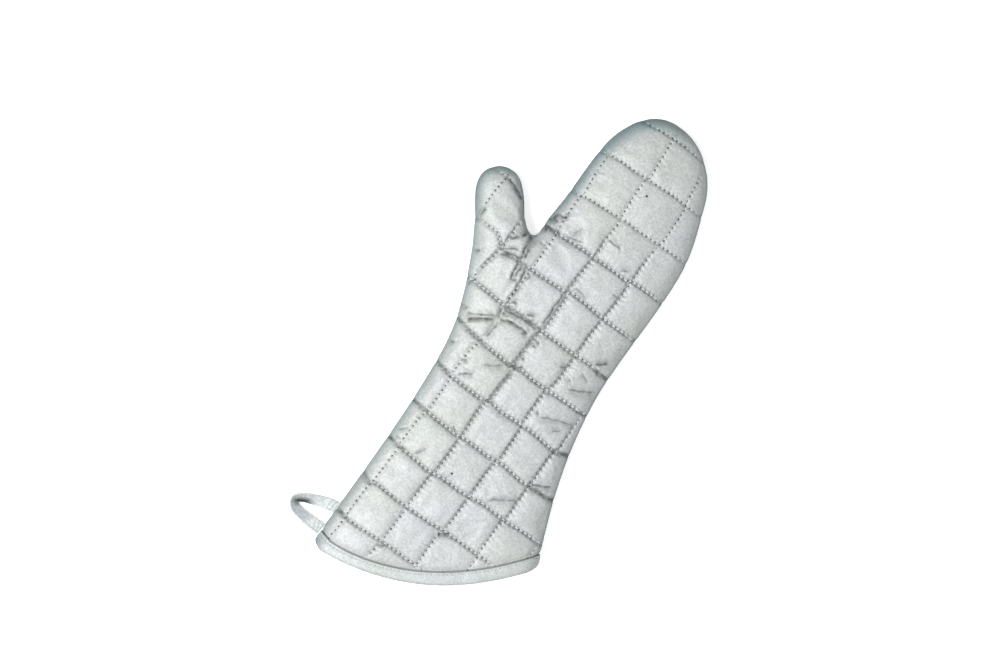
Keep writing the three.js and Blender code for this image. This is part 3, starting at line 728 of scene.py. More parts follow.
@dataclass
class Form:
    """Crown surface of the lying mitten and the wall under it."""

    seam: Seam
    seam_height: float = 11
    edge_roll: float = 8
    edge_reach: float = 12
    dome: float = 12
    dome_reach: float = 48
    under_reach: float = 14
    table_press: float = 0.45
    panel_gap: float = 0.3
    # A place this close to the seam lies on it
    on_seam: float = 0.02
    # The cloth is pulled taut round the crotch, so that it rises more steeply from the seam there
    crotch: Pair = (-43, 82)
    crotch_fullness: float = 3.4
    crotch_reach: float = 16
    # How full the mitten lies along its length, as a share of the dome
    full_y: Floats = (-216, -110, -10, 70, 150, 216)
    full_share: Floats = (0.95, 0.85, 0.8, 1.1, 1.1, 0.95)

    def measure(self, places: Array, lean: Array | None = None) -> "Ground":
        """Measure places in plan once, for both panels.

        Args:
            places: rows of x and y.
            lean: plan directions that outwards leans in, with NaN where it is square to the seam.

        Returns:
            All that the surface needs to know about the places.
        """
        near = self.seam.near(places)
        reach, slope = self.seam.reach(places)
        crotch = np.linalg.norm(places - np.array(self.crotch), axis=1, keepdims=True)
        fuller = 1 + self.crotch_fullness * bell(crotch, self.crotch_reach)
        reach, slope = reach * fuller[:, 0], slope * fuller
        if lean is None:
            lean = np.full_like(places, np.nan)
        return Ground(places, near, reach, slope, lean)

    def surface(self, side: Side, ground: "Ground", offset: Array) -> Array:
        """Place points of a panel, each offset outwards from the crown surface.

        Args:
            side: front or back panel.
            ground: the measured places.
            offset: how far outwards each point lies, below zero in the wall.

        Returns:
            Rows of x, y and z. What would dip under the table is pressed flat on it.
        """
        reach = ground.reach
        if side is Side.FRONT:
            full = self.dome * np.interp(ground.places[:, 1], self.full_y, self.full_share)
            rise = self.edge_roll * quarter_round(reach / self.edge_reach)
            rise = rise + full * quarter_round(reach / self.dome_reach)
            steep = self.edge_roll / self.edge_reach * quarter_round_slope(reach / self.edge_reach)
            steep = steep + full / self.dome_reach * quarter_round_slope(reach / self.dome_reach)
        else:
            drop = self.seam_height - self.panel_gap / 2 + self.table_press
            rise = drop * quarter_round(reach / self.under_reach)
            steep = drop / self.under_reach * quarter_round_slope(reach / self.under_reach)
        slope = steep[:, None] * ground.slope
        normal = unit(np.concatenate([-slope, np.ones((len(slope), 1))], axis=1))
        level = normal[:, :2]
        leaning = ~np.isnan(ground.lean[:, 0])
        flat = np.linalg.norm(level, axis=1, keepdims=True)
        level = np.where(leaning[:, None], np.nan_to_num(ground.lean) * flat, level)
        on_seam = ground.near.distance < self.on_seam
        away = np.stack([-ground.near.along[:, 1], ground.near.along[:, 0]], axis=1)
        away = np.where(leaning[:, None], np.nan_to_num(ground.lean), away)
        level = np.where(on_seam[:, None], away, level)
        rise = np.where(on_seam, 0, rise + normal[:, 2] * offset)
        middle = self.seam_height + side.value * self.panel_gap / 2
        z = np.maximum(middle + side.value * rise, 0)
        return np.column_stack([ground.places + level * offset[:, None], z])


@dataclass(frozen=True)
class Ground:
    """Places in plan with their distances from the seam."""

    places: Array
    near: Near
    reach: Array
    slope: Array
    lean: Array


@dataclass
class Cuff:
    """Places across the cuff: stations along it and how wide its tape is at each."""

    seam: Seam
    step: float = 1.5
    corner_depths: Floats = (0, 0.12, 0.5, 1.1, 1.9, 2.9, 4.1, 5.5, 7, 8.6)
    bottom_line: Line = field(default_factory=lambda: Line.through(CUFF_KNOTS))
    tape_line: Line = field(default_factory=lambda: Line.through(TAPE_KNOTS))

    @cached_property
    def arcs(self) -> Array:
        """Distances of the stations along the bottom edge, closer together at both corners."""
        length = self.bottom_line.length
        corner = np.array(self.corner_depths)
        count = round((length - 2 * corner[-1]) / self.step)
        middle = np.linspace(corner[-1], length - corner[-1], count + 1)[1:-1]
        return np.concatenate([corner, middle, (length - corner)[::-1]])

    @cached_property
    def bottom(self) -> Array:
        """Bottom edge at each station."""
        return self.bottom_line.at(self.arcs)

    @cached_property
    def top(self) -> Array:
        """Upper edge of the tape at each station."""
        return self.tape_line.at(self.arcs / self.bottom_line.length * self.tape_line.length)

    @cached_property
    def width(self) -> Array:
        """Width of the tape at each station."""
        return np.linalg.norm(self.top - self.bottom, axis=1)

    def across(self, inwards: Array) -> tuple[Array, Array]:
        """Place one point for each station, so far in from the cuff's bottom edge.

        Args:
            inwards: distance from the bottom edge at each station.

        Returns:
            The places, and the directions that outwards leans in there. The first and last place
            stay on the side seam.
        """
        places = self.bottom + (self.top - self.bottom) * (inwards / self.width)[:, None]
        foot = self.seam.near(places[[0, -1]]).foot
        for end, arcs in ((0, self.arcs), (-1, self.arcs[::-1])):
            close = 1 - smoothstep(arcs / self.corner_depths[-1])
            places = places + close[:, None] * (foot[end] - places[end])
        near = self.seam.near(places)
        towards = self.bottom_line.tangent(self.arcs)
        towards[self.arcs < self.bottom_line.length / 2] *= -1
        square = np.stack([-near.along[:, 1], near.along[:, 0]], axis=1)
        return places, towards / (towards * square).sum(1, keepdims=True)


class Crowd:
    """Places gathered in plan, where a new one has to keep its distance from the others."""

    def __init__(self, cell: float, start: Array) -> None:
        """Start with some places, in a search grid of the given cell size."""
        self.cell = cell
        self.kept: list[Pair] = []
        self.grid: dict[tuple[int, int], list[int]] = {}
        for x, y in start.tolist():
            self.keep(x, y)

    def keep(self, x: float, y: float) -> None:
        """Keep a place."""
        cell = (math.floor(x / self.cell), math.floor(y / self.cell))
        self.grid.setdefault(cell, []).append(len(self.kept))
        self.kept.append((x, y))

    def add(self, places: Array, gap: float) -> None:
        """Add each place that is more than a gap away from all that are there.

        Args:
            places: rows of x and y.
            gap: least distance, no more than the grid's cell.
        """
        for x, y in places.tolist():
            column, row = math.floor(x / self.cell), math.floor(y / self.cell)
            beside = (
                self.kept[i]
                for c in (column - 1, column, column + 1)
                for r in (row - 1, row, row + 1)
                for i in self.grid.get((c, r), ())
            )
            if all((x - px) ** 2 + (y - py) ** 2 > gap * gap for px, py in beside):
                self.keep(x, y)


def inside(loop: Array, places: Array) -> Array:
    """Say which places lie inside a closed loop.

    Args:
        loop: corners of the loop in order.
        places: rows of x and y.

    Returns:
        True for each place inside.
    """
    found = np.zeros(len(places), bool)
    x, y = places[:, 0], places[:, 1]
    for a, b in zip(loop, np.roll(loop, 1, axis=0)):
        crosses = (a[1] > y) != (b[1] > y)
        if crosses.any():
            at = (b[0] - a[0]) * (y - a[1]) / (b[1] - a[1] or 1e-12) + a[0]
            found ^= crosses & (x < at)
    return found


def fill_loop(loop: list[int], places: Array) -> Array:
    """Mesh the inside of a loop with Delaunay triangles.

    Args:
        loop: numbers of the loop's places in order.
        places: all places, where those outside the loop are left out.

    Returns:
        Rows of three place numbers, turning anticlockwise.
    """
    edges = list(zip(loop, loop[1:] + loop[:1]))
    result = delaunay_2d_cdt([Vector(p) for p in places], edges, [], 1, 1e-6, True)
    source = [numbers[0] for numbers in result[3]]
    triangles = np.array([[source[i] for i in face] for face in result[2]])
    middle = places[triangles].mean(1)
    triangles = triangles[inside(places[loop], middle)]
    a, b, c = (places[triangles[:, i]] for i in range(3))
    turn = (b[:, 0] - a[:, 0]) * (c[:, 1] - a[:, 1]) - (b[:, 1] - a[:, 1]) * (c[:, 0] - a[:, 0])
    triangles[turn < 0] = triangles[turn < 0][:, ::-1]
    return triangles


def open_edges(triangles: Array) -> list[tuple[int, int]]:
    """Directed edges that only one triangle has."""
    edges = {(a, b) for t in triangles.tolist() for a, b in ((t[0], t[1]), (t[1], t[2]), (t[2], t[0]))}
    return [(a, b) for a, b in edges if (b, a) not in edges]


def make_mesh(name: str, points: Array, faces: Sequence[Sequence[int]]) -> Object:
    """Make a smooth-shaded mesh object in the row frame.

    Args:
        name: name of the piece.
        points: rows of x, y and z in millimetres.
        faces: corners of each face.

    Returns:
        The object, linked to the scene.
    """
    mesh = bpy.data.meshes.new(name)
    mesh.from_pydata((np.asarray(points) * MM).tolist(), [], [list(map(int, f)) for f in faces])
    mesh.shade_smooth()
    piece = bpy.data.objects.new(name, mesh)
    bpy.context.scene.collection.objects.link(piece)
    return piece


def dress(piece: Object, materials: Sequence[Material], node: str | None = None) -> None:
    """Give a piece its materials and its place in the model, and report it.

    Args:
        piece: the piece.
        materials: its materials in order.
        node: the CAD node that the piece replaces, if any.
    """
    for material in materials:
        piece.data.materials.append(material)
    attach(piece, BODY)
    if node:
        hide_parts(node)
    LOG.info("%s: %d faces", piece.name, len(piece.data.polygons))


def swept_faces(rings: int, size: int, closed: bool) -> list[list[int]]:
    """Join the rings of a swept section into faces.

    Args:
        rings: how many rings there are.
        size: how many points each ring has.
        closed: whether the last ring joins the first.

    Returns:
        Corners of each face.
    """
    return [
        [s * size + i, s * size + j, t * size + j, t * size + i]
        for s, t in zip(range(rings if closed else rings - 1), [*range(1, rings), 0])
        for i, j in zip(range(size), [*range(1, size), 0])
    ]


def write_attribute(piece: Object, name: str, values: Array) -> None:
    """Store one number a vertex under a name that a material can read."""
    layer = piece.data.attributes.new(name, "FLOAT", "POINT")
    layer.data.foreach_set("value", np.asarray(values, np.float32))


@dataclass
class PanelPlan:
    """Plan of a panel's outer face: strips across the cuff and a free mesh above them."""

    seam: Seam
    cuff: Cuff
    quilting: Quilting
    creases: tuple[Crease, ...]
    outline_step: float = 1.5
    grid: float = 1.6
    ring_depths: Floats = (0.1, 0.4, 0.85, 1.5, 2.3, 3.2, 4.2, 5.3, 6.5, 7.8)
    # Rows across the cuff: from the bottom edge, and then from the tape's upper edge
    under_tape: Floats = (1.9, 4, 6, 7.6)
    above_tape: Floats = (0.3, 1.0, 1.9, 2.9, 4.1, 5.5)
    line_offsets: Floats = (0, 0.65, -0.65, 1.35, -1.35, 2.1, -2.1, 3, -3, 4.1, -4.1)
    crease_offsets: Floats = (0, 0.5, -0.5, 1.1, -1.1, 1.9, -1.9, 2.8, -2.8)
    # Steps along creases and lines of stitches, and the least distances between places there
    crease_step: float = 0.8
    crease_gap: float = 0.4
    places_a_stitch: int = 5
    line_gap: float = 0.45

    def __post_init__(self) -> None:
        """Lay out the places and mesh them."""
        rows = [np.full(len(self.cuff.arcs), depth) for depth in self.under_tape]
        rows += [self.cuff.width + height for height in self.above_tape]
        strips = [self.cuff.across(row) for row in rows]
        width = len(self.cuff.arcs)
        free_row = strips[-1][0]
        side = self.seam.line.even(self.outline_step)
        ends = np.where(side[:, 0] < 0, free_row[0, 1], free_row[-1, 1])
        side = side[side[:, 1] > ends + self.outline_step / 2]
        loop = np.concatenate([free_row, side[::-1]])
        open_places = self.open_places(loop, side)
        below = (len(strips) - 1) * width
        self.places = np.concatenate([s[0] for s in strips[:-1]] + [open_places])
        self.lean = np.full_like(self.places, np.nan)
        self.lean[: below + width] = np.concatenate([s[1] for s in strips])
        self.row_of = np.full(len(self.places), len(strips))
        self.row_of[: below + width] = np.repeat(np.arange(len(strips)), width)
        corner = np.arange(below).reshape(-1, width)
        a, b = corner[:, :-1].ravel(), corner[:, 1:].ravel()
        quads = np.concatenate([np.stack([a, b, b + width], 1), np.stack([a, b + width, a + width], 1)])
        free = fill_loop(list(range(len(loop))), open_places) + below
        self.triangles = np.concatenate([quads, free])
        follow = dict(open_edges(self.triangles))
        self.edge = [0]
        while (step := follow[self.edge[-1]]) != 0:
            self.edge.append(step)

    def open_places(self, loop: Array, side: Array) -> Array:
        """Lay out the places above the cuff: outline, rings inside it, stitch lines and a grid.

        Args:
            loop: the free row and the outline, anticlockwise.
            side: the outline from left to right.

        Returns:
            The places, with the loop's first.
        """
        crowd = Crowd(2.0, loop)
        near = self.seam.near(side)
        inwards = np.stack([near.along[:, 1], -near.along[:, 0]], axis=1)
        for depth in self.ring_depths:
            ring = side + inwards * depth
            ring = ring[self.seam.near(ring).distance > 0.97 * depth]
            crowd.add(ring[inside(loop, ring)], min(0.6 * depth, 0.08 + 0.1 * depth))
        clear = self.ring_depths[-1] + 0.7
        for crease in self.creases:
            places = crease.line.beside(self.crease_step, self.crease_offsets)
            crowd.add(self.clear_inside(loop, places, clear), self.crease_gap)
        for line in self.quilting.row_lines + self.quilting.column_lines:
            places = line.beside(self.quilting.stitch / self.places_a_stitch, self.line_offsets)
            crowd.add(self.clear_inside(loop, places, clear), self.line_gap)
        low, high = loop.min(0), loop.max(0)
        across, up = np.meshgrid(
            np.arange(low[0], high[0], self.grid), np.arange(low[1], high[1], self.grid * math.sqrt(3))
        )
        even = np.stack([across.ravel(), up.ravel()], axis=1)
        odd = even + self.grid * np.array([0.5, math.sqrt(3) / 2])
        crowd.add(self.clear_inside(loop, np.concatenate([even, odd]), clear), 0.6 * self.grid)
        return np.array(crowd.kept)

    def clear_inside(self, loop: Array, places: Array, clear: float) -> Array:
        """Those of some places that lie inside a loop and clear of the seam."""
        places = places[inside(loop, places)]
        return places[self.seam.near(places).distance > clear]


@dataclass
class ClothRun:
    """Cloth simulation that plumps the padding between its pinned lines of stitches.

    The cloth is let out a little, so that it puckers beside the stitches as gathered cloth does.
    """

    frames: int = 16
    pressure: float = 1.2
    let_out: float = 0.01
    most_let_out: float = 0.06
    most_move: float = 2.6
    quality: int = 4
    stiffness: float = 25

    def settle(self, points: Array, triangles: Array, pinned: Array, slack: Array) -> Array:
        """Run the simulation on a copy of the cloth.

        Args:
            points: the cloth before it is plumped, in millimetres.
            triangles: its mesh.
            pinned: how firmly each point is held, from 0 to 1.
            slack: how much cloth is to spare at each point, from 0 to 1.

        Returns:
            Where the points come to rest, none further off than most_move.
        """
        cloth = make_mesh("settling_cloth", points, triangles)
        for name, weights in (("pinned", pinned), ("slack", slack)):
            group = cloth.vertex_groups.new(name=name)
            tenths = np.round(weights * 10)
            for level in np.unique(tenths):
                group.add(np.flatnonzero(tenths == level).tolist(), float(level) / 10, "REPLACE")
        modifier = cloth.modifiers.new("cloth", "CLOTH")
        settings = modifier.settings
        settings.vertex_group_mass = "pinned"
        settings.vertex_group_shrink = "slack"
        settings.quality = self.quality
        settings.mass = 0.15
        settings.tension_stiffness = self.stiffness
        settings.compression_stiffness = self.stiffness
        settings.shear_stiffness = 8
        settings.bending_stiffness = 0.15
        settings.air_damping = 4
        settings.shrink_min = -self.let_out
        settings.shrink_max = -self.most_let_out
        settings.use_pressure = True
        settings.uniform_pressure_force = self.pressure
        settings.effector_weights.gravity = 0
        modifier.collision_settings.use_collision = False
        scene = bpy.context.scene
        modifier.point_cache.frame_end = self.frames
        for number in range(1, self.frames + 1):
            scene.frame_set(number)
        settled = cloth.evaluated_get(bpy.context.evaluated_depsgraph_get())
        numbers = np.empty(len(points) * 3)
        settled.data.vertices.foreach_get("co", numbers)
        bpy.data.objects.remove(cloth)
        scene.frame_set(1)
        move = numbers.reshape(-1, 3) / MM - points
        length = np.linalg.norm(move, axis=1, keepdims=True)
        LOG.info("cloth moved %.2f mm on average, %.2f at most", length.mean(), length.max())
        soft = self.most_move * np.tanh(length / self.most_move)
        return points + move * soft / np.maximum(length, 1e-9)


def add_node(
    tree: NodeTree,
    kind: str,
    values: dict | None = None,
    links: dict | None = None,
    tones: Iterable[tuple[float, str]] = (),
    **settings: str,
) -> Node:
    """Add a node to a shader.

    Args:
        tree: the shader's node tree.
        kind: the node's type without ShaderNode, which all of them start with.
        values: values of its inputs by name or number.
        links: outputs that feed its inputs, by the input's name or number.
        tones: stops of its colour ramp, each a position and sRGB hex.
        settings: the node's own settings by name.

    Returns:
        The node.
    """
    node = tree.nodes.new(f"ShaderNode{kind}")
    for name, value in settings.items():
        setattr(node, name, value)
    for socket, value in (values or {}).items():
        node.inputs[socket].default_value = value
    for socket, source in (links or {}).items():
        tree.links.new(source, node.inputs[socket])
    for number, (position, tone) in enumerate(tones):
        stop = node.color_ramp.elements[number]
        stop.position = position
        stop.color = linear(tone)
    return node


def new_shader(name: str) -> tuple[Material, NodeTree]:
    """Make a material with an empty node tree."""
    material = bpy.data.materials.new(name)
    material.use_nodes = True
    material.node_tree.nodes.clear()
    return material, material.node_tree


def falling(start: float, end: float) -> dict[str, float]:
    """Values of a map range that falls from 1 at start to 0 at end."""
    return {"From Min": start, "From Max": end, "To Min": 1.0, "To Max": 0.0}


def wave_scale(apart: float) -> float:
    """Scale of diagonal bands so many millimetres apart: their phase is ten times x + y + z."""
    return math.pi * math.sqrt(2) / (10 * apart * MM)


def clouded(
    tree: NodeTree, place: NodeSocket, size: float, tones: Sequence[str], detail: float = 3
) -> NodeSocket:
    """Add a cloudy change between two tones.

    Args:
        tree: the shader's node tree.
        place: position in metres.
        size: size of the clouds in millimetres.
        tones: sRGB hex of the two tones.
        detail: how many finer layers the clouds have.

    Returns:
        The colour.
    """
    clouds = add_node(
        tree, "TexNoise", {"Scale": 1 / (size * MM), "Detail": detail, "Roughness": 0.6},
        {"Vector": place},
    )
    # The noise hardly goes below the first of these amounts or above the second
    stops = zip((0.34, 0.66), tones)
    return add_node(tree, "ValToRGB", {}, {"Fac": clouds.outputs["Fac"]}, stops).outputs["Color"]


@dataclass(frozen=True)
class Weave:
    """Twill weave of cotton drill, with threads half a millimetre and ribs one millimetre apart.

    Both are too fine to show from two metres, so the ribs are drawn 2.8 mm apart and shallow,
    under a soft grain.
    """

    rib: float = 2.828427
    grain: float = 1.4
    depth: float = 0.09

    def height(self, tree: NodeTree, place: NodeSocket) -> NodeSocket:
        """Add the nodes of the weave.

        Args:
            tree: the shader's node tree.
            place: position in metres.

        Returns:
            Height of the weave from 0 to 1.
        """
        ribs = add_node(
            tree, "TexWave", {"Scale": wave_scale(self.rib), "Distortion": 1.5, "Detail": 1.0},
            {"Vector": place}, wave_type="BANDS", bands_direction="DIAGONAL", wave_profile="SIN",
        )
        grain = add_node(
            tree, "TexNoise", {"Scale": 1 / (self.grain * MM), "Detail": 3.0, "Roughness": 0.6},
            {"Vector": place},
        )
        both = add_node(
            tree, "Mix", {"Factor": 0.75}, {2: ribs.outputs["Fac"], 3: grain.outputs["Fac"]},
            data_type="FLOAT",
        )
        return both.outputs[0]


@dataclass(frozen=True)
class CoatedCotton:
    """Cotton drill with an aluminium coloured coating rolled on to it.

    The coating lies in the weave: it gives the eye a soft satin grey that is bright where it
    faces the light and falls off quickly where it turns away. Painted shade darkens it in the
    creases, along the stitches, in the needle holes and beside the seam.
    """

    name: str
    colour: str = "CBCDCC"
    worn: str = "C2C4C3"
    tints: tuple[str, str] = ("F5F7F2", "F8F7FA")
    sparkle: tuple[str, str] = ("DDDFDF", "FFFFFF")
    # Tones of painted shade: in creases and stitch valleys, beside the seam, and in the needle holes
    crease: str = "363D3B"
    rim: str = "42686D"
    dark: str = "3C4446"
    soot: str = "262928"
    roughness: float = 0.55
    metallic: float = 0.12
    mottle: float = 22.0
    tint_size: float = 48
    sparkle_size: float = 1.6
    # The coating is stiff, so the cloth crinkles in fine sharp lines
    crinkle: float = 20.0
    crinkle_depth: float = 1.5
    crinkle_strength: float = 0.5
    weave_strength: float = 0.7
    stitched: bool = False
    # Two specks of soot on the front, where the coating is burnt
    specks: tuple[Pair, ...] = ((18.7, 155.2), (4.4, -110.1))
    speck_height: float = 30.5
    # Heights count this much beside x and y in the distance from a speck
    flatness: float = 0.1
    # A speck or a hole is black up to the first distance from its middle and gone at the second
    speck_edge: Pair = (0.7, 1.3)
    hole_edge: Pair = (0.4675, 1.1475)
    stitch: float = STITCH
    weave: Weave = Weave()

    def holes(self, tree: NodeTree, line: str) -> NodeSocket:
        """Add the nodes that paint shade into the needle holes along rows or columns of stitches.

        Args:
            tree: the shader's node tree.
            line: "row" or "column", which names the two attributes that it reads.

        Returns:
            1 in a needle hole and 0 away from it.
        """
        gap = add_node(tree, "Attribute", attribute_name=f"{line}_gap")
        run = add_node(tree, "Attribute", attribute_name=f"{line}_run")
        count = add_node(tree, "Math", {1: self.stitch}, {0: run.outputs["Fac"]}, operation="DIVIDE")
        part = add_node(tree, "Math", {}, {0: count.outputs[0]}, operation="FRACT")
        centred = add_node(tree, "Math", {1: 0.5}, {0: part.outputs[0]}, operation="SUBTRACT")
        away = add_node(tree, "Math", {}, {0: centred.outputs[0]}, operation="ABSOLUTE")
        along = add_node(
            tree, "Math", {1: -self.stitch, 2: self.stitch / 2}, {0: away.outputs[0]},
            operation="MULTIPLY_ADD",
        )
        both = add_node(tree, "CombineXYZ", {}, {"X": gap.outputs["Fac"], "Y": along.outputs[0]})
        distance = add_node(tree, "VectorMath", {}, {0: both.outputs[0]}, operation="LENGTH")
        mark = add_node(
            tree, "MapRange", falling(*self.hole_edge), {"Value": distance.outputs["Value"]},
            interpolation_type="SMOOTHSTEP",
        )
        return mark.outputs[0]

    def material(self) -> Material:
        """Build the shader.

        Returns:
            The material.
        """
        material, tree = new_shader(self.name)
        place = add_node(tree, "NewGeometry").outputs["Position"]
        colour = clouded(tree, place, self.mottle, (self.worn, self.colour), 4)
        for size, tones in ((self.tint_size, self.tints), (self.sparkle_size, self.sparkle)):
            layer = add_node(
                tree, "Mix", {"Factor": 1.0}, {"A": colour, "B": clouded(tree, place, size, tones)},
                data_type="RGBA", blend_type="MULTIPLY",
            )
            colour = layer.outputs["Result"]
        height = self.weave.height(tree, place)
        # Painted shade from the rim and crease attributes, and in the needle holes, is mixed into the colour
        amounts = [
            add_node(tree, "Attribute", attribute_name=name).outputs["Fac"] for name in ("rim", "crease")
        ]
        if self.stitched:
            amounts += [self.holes(tree, line) for line in ("row", "column")]
        for amount, shade in zip(amounts, (self.rim, self.crease, self.dark, self.dark)):
            layer = add_node(
                tree, "Mix", {"B": linear(shade)}, {"Factor": amount, "A": colour}, data_type="RGBA"
            )
            colour = layer.outputs["Result"]
        if self.stitched:
            flat = add_node(
                tree, "VectorMath", {1: (1, 1, self.flatness)}, {0: place}, operation="MULTIPLY"
            )
            for x, y in self.specks:
                away = add_node(
                    tree, "VectorMath", {1: (x * MM, y * MM, self.flatness * self.speck_height * MM)},
                    {0: flat.outputs[0]}, operation="DISTANCE",
                )
                near = add_node(
                    tree, "MapRange", falling(self.speck_edge[0] * MM, self.speck_edge[1] * MM),
                    {"Value": away.outputs["Value"]},
                )
                speck = add_node(
                    tree, "Mix", {"B": linear(self.soot)}, {"Factor": near.outputs[0], "A": colour},
                    data_type="RGBA",
                )
                colour = speck.outputs["Result"]
        crinkles = add_node(
            tree, "TexNoise",
            {"Scale": 1 / (self.crinkle * MM), "Detail": 2.0, "Roughness": 0.5, "Distortion": 0.5},
            {"Vector": place}, noise_type="RIDGED_MULTIFRACTAL",
        )
        normal = None
        for relief, strength, depth in (
            (crinkles.outputs["Fac"], self.crinkle_strength, self.crinkle_depth),
            (height, self.weave_strength, self.weave.depth),
        ):
            bump = add_node(
                tree, "Bump", {"Strength": strength, "Distance": depth * MM},
                {"Height": relief} | ({"Normal": normal} if normal else {}),
            )
            normal = bump.outputs["Normal"]
        shader = add_node(
            tree, "BsdfPrincipled", {"Metallic": self.metallic, "Roughness": self.roughness, "IOR": 1.5},
            {"Base Color": colour, "Normal": normal},
        )
        add_node(tree, "OutputMaterial", {}, {"Surface": shader.outputs[0]})
        return material


@dataclass(frozen=True)
class Cotton:
    """Plain unbleached cotton, woven: a matt off-white lining with a fine nap."""

    name: str
    colour: str = "DAD6CB"
    shade: str = "C8C3B6"
    nap: float = 0.8

    def material(self) -> Material:
        """Build the shader.

        Returns:
            The material.
        """
        material, tree = new_shader(self.name)
        place = add_node(tree, "NewGeometry").outputs["Position"]
        nap = add_node(
            tree, "TexNoise", {"Scale": 1 / (self.nap * MM), "Detail": 4.0, "Roughness": 0.6},
            {"Vector": place},
        )
        bump = add_node(
            tree, "Bump", {"Strength": 0.4, "Distance": 0.1 * MM}, {"Height": nap.outputs["Fac"]}
        )
        shader = add_node(
            tree, "BsdfPrincipled", {"Roughness": 0.9, "IOR": 1.5, "Sheen Weight": 0.3},
            {
                "Base Color": clouded(tree, place, self.nap, (self.shade, self.colour)),
                "Normal": bump.outputs["Normal"],
            },
        )
        add_node(tree, "OutputMaterial", {}, {"Surface": shader.outputs[0]})
        return material


@dataclass(frozen=True)
class Thread:
    """Spun polyester sewing thread, twisted: pale grey with a slight gloss along the twist."""

    name: str = "sewing_thread"
    colour: str = "DCDFDE"
    # Tone of the painted shade in the grooves between the plies
    shade: str = "BEC3C2"
    # The real twist, about 0.45 mm, is too fine to show, so it is drawn nearly three times as coarse
    twist: float = 1.2727922

    def material(self) -> Material:
        """Build the shader.

        Returns:
            The material.
        """
        material, tree = new_shader(self.name)
        place = add_node(tree, "NewGeometry").outputs["Position"]
        plies = add_node(
            tree, "TexWave", {"Scale": wave_scale(self.twist), "Distortion": 1.0}, {"Vector": place},
            bands_direction="DIAGONAL",
        )
        # Painted shade: the ramp follows the bump, so the grooves between the plies are darker
        stops = ((0, self.shade), (1, self.colour))
        tone = add_node(tree, "ValToRGB", {}, {"Fac": plies.outputs["Fac"]}, stops)
        bump = add_node(
            tree, "Bump", {"Strength": 0.4, "Distance": 0.08 * MM}, {"Height": plies.outputs["Fac"]}
        )
        shader = add_node(
            tree, "BsdfPrincipled", {"Roughness": 0.55, "IOR": 1.53},
            {"Base Color": tone.outputs["Color"], "Normal": bump.outputs["Normal"]},
        )
        add_node(tree, "OutputMaterial", {}, {"Surface": shader.outputs[0]})
        return material


@dataclass(frozen=True)
class Paper:
    """Matt white background paper: an even pale ground with hardly any texture."""

    name: str = "background_paper"
    colour: str = "F4F4F3"
    # Lit from below as on a light table, so that the shadow stays faint
    glow: float = 0.6

    def material(self) -> Material:
        """Build the shader.

        Returns:
            The material.
        """
        material, tree = new_shader(self.name)
        shader = add_node(
            tree, "BsdfPrincipled",
            {
                "Base Color": linear(self.colour),
                "Roughness": 0.95,
                "Specular IOR Level": 0.1,
                "Emission Color": linear(self.colour),
                "Emission Strength": self.glow,
            },
        )
        add_node(tree, "OutputMaterial", {}, {"Surface": shader.outputs[0]})
        return material


@dataclass
class Finishes:
    """The mitten's materials, made once."""

    cloth: Material
    lining: Material
    tape: Material
    loop: Material
    thread: Material

    @classmethod
    def make(cls) -> "Finishes":
        """Build every material."""
        return cls(
            cloth=CoatedCotton("silver_coated_drill", stitched=True).material(),
            lining=Cotton("cotton_lining").material(),
            tape=CoatedCotton(
                "silver_coated_bias_tape", "CFD2D1", "C6CAC9", metallic=0.2, roughness=0.6, mottle=12
            ).material(),
            loop=CoatedCotton(
                "silver_coated_loop_tape", "D3D6D7", "C8CCCE", metallic=0.2, roughness=0.6, mottle=9
            ).material(),
            thread=Thread().material(),
        )


@dataclass(frozen=True)
class StitchShade:
    """Painted shade along a line of stitches, where the cloth turns under beside it."""

    # The pull at which the shade sets in, and how much more of it makes the shade full
    sets_in: Pair = (0.38, 0.38)
    change: float = 0.2
    sway: float = 0.4
    lower: float = 0.95
    lower_bell: Pair = (0.6, -1.0)
    upper_bell: Pair = (0.5, 1.15)
    fold: float = 0.9
    fold_width: float = 1.1

    def along(self, line: Stitched, share: Array, upper: float) -> Array:
        """Paint shade on the cloth along a line of stitches.

        Args:
            line: where the places lie beside the line.
            share: how hard the line pulls there.
            upper: how dark its left or upper side is, against the other side.

        Returns:
            How dark the painted shade makes each place, from 0 to 1.
        """
        start, over = self.sets_in
        patchy = 1 - self.change + self.change * uneven(line.run, 11, line.number)
        hard = np.clip((share - start) / over, 0, 1) * patchy
        side = line.side + self.sway * np.cos(2 * math.pi * line.run / STITCH)
        lower = self.lower * bell(side, *self.lower_bell)
        above = upper * bell(side, *self.upper_bell)
        middle = self.fold * line.hidden * bell(side, self.fold_width)
        return hard * np.maximum.reduce([lower, above, middle])


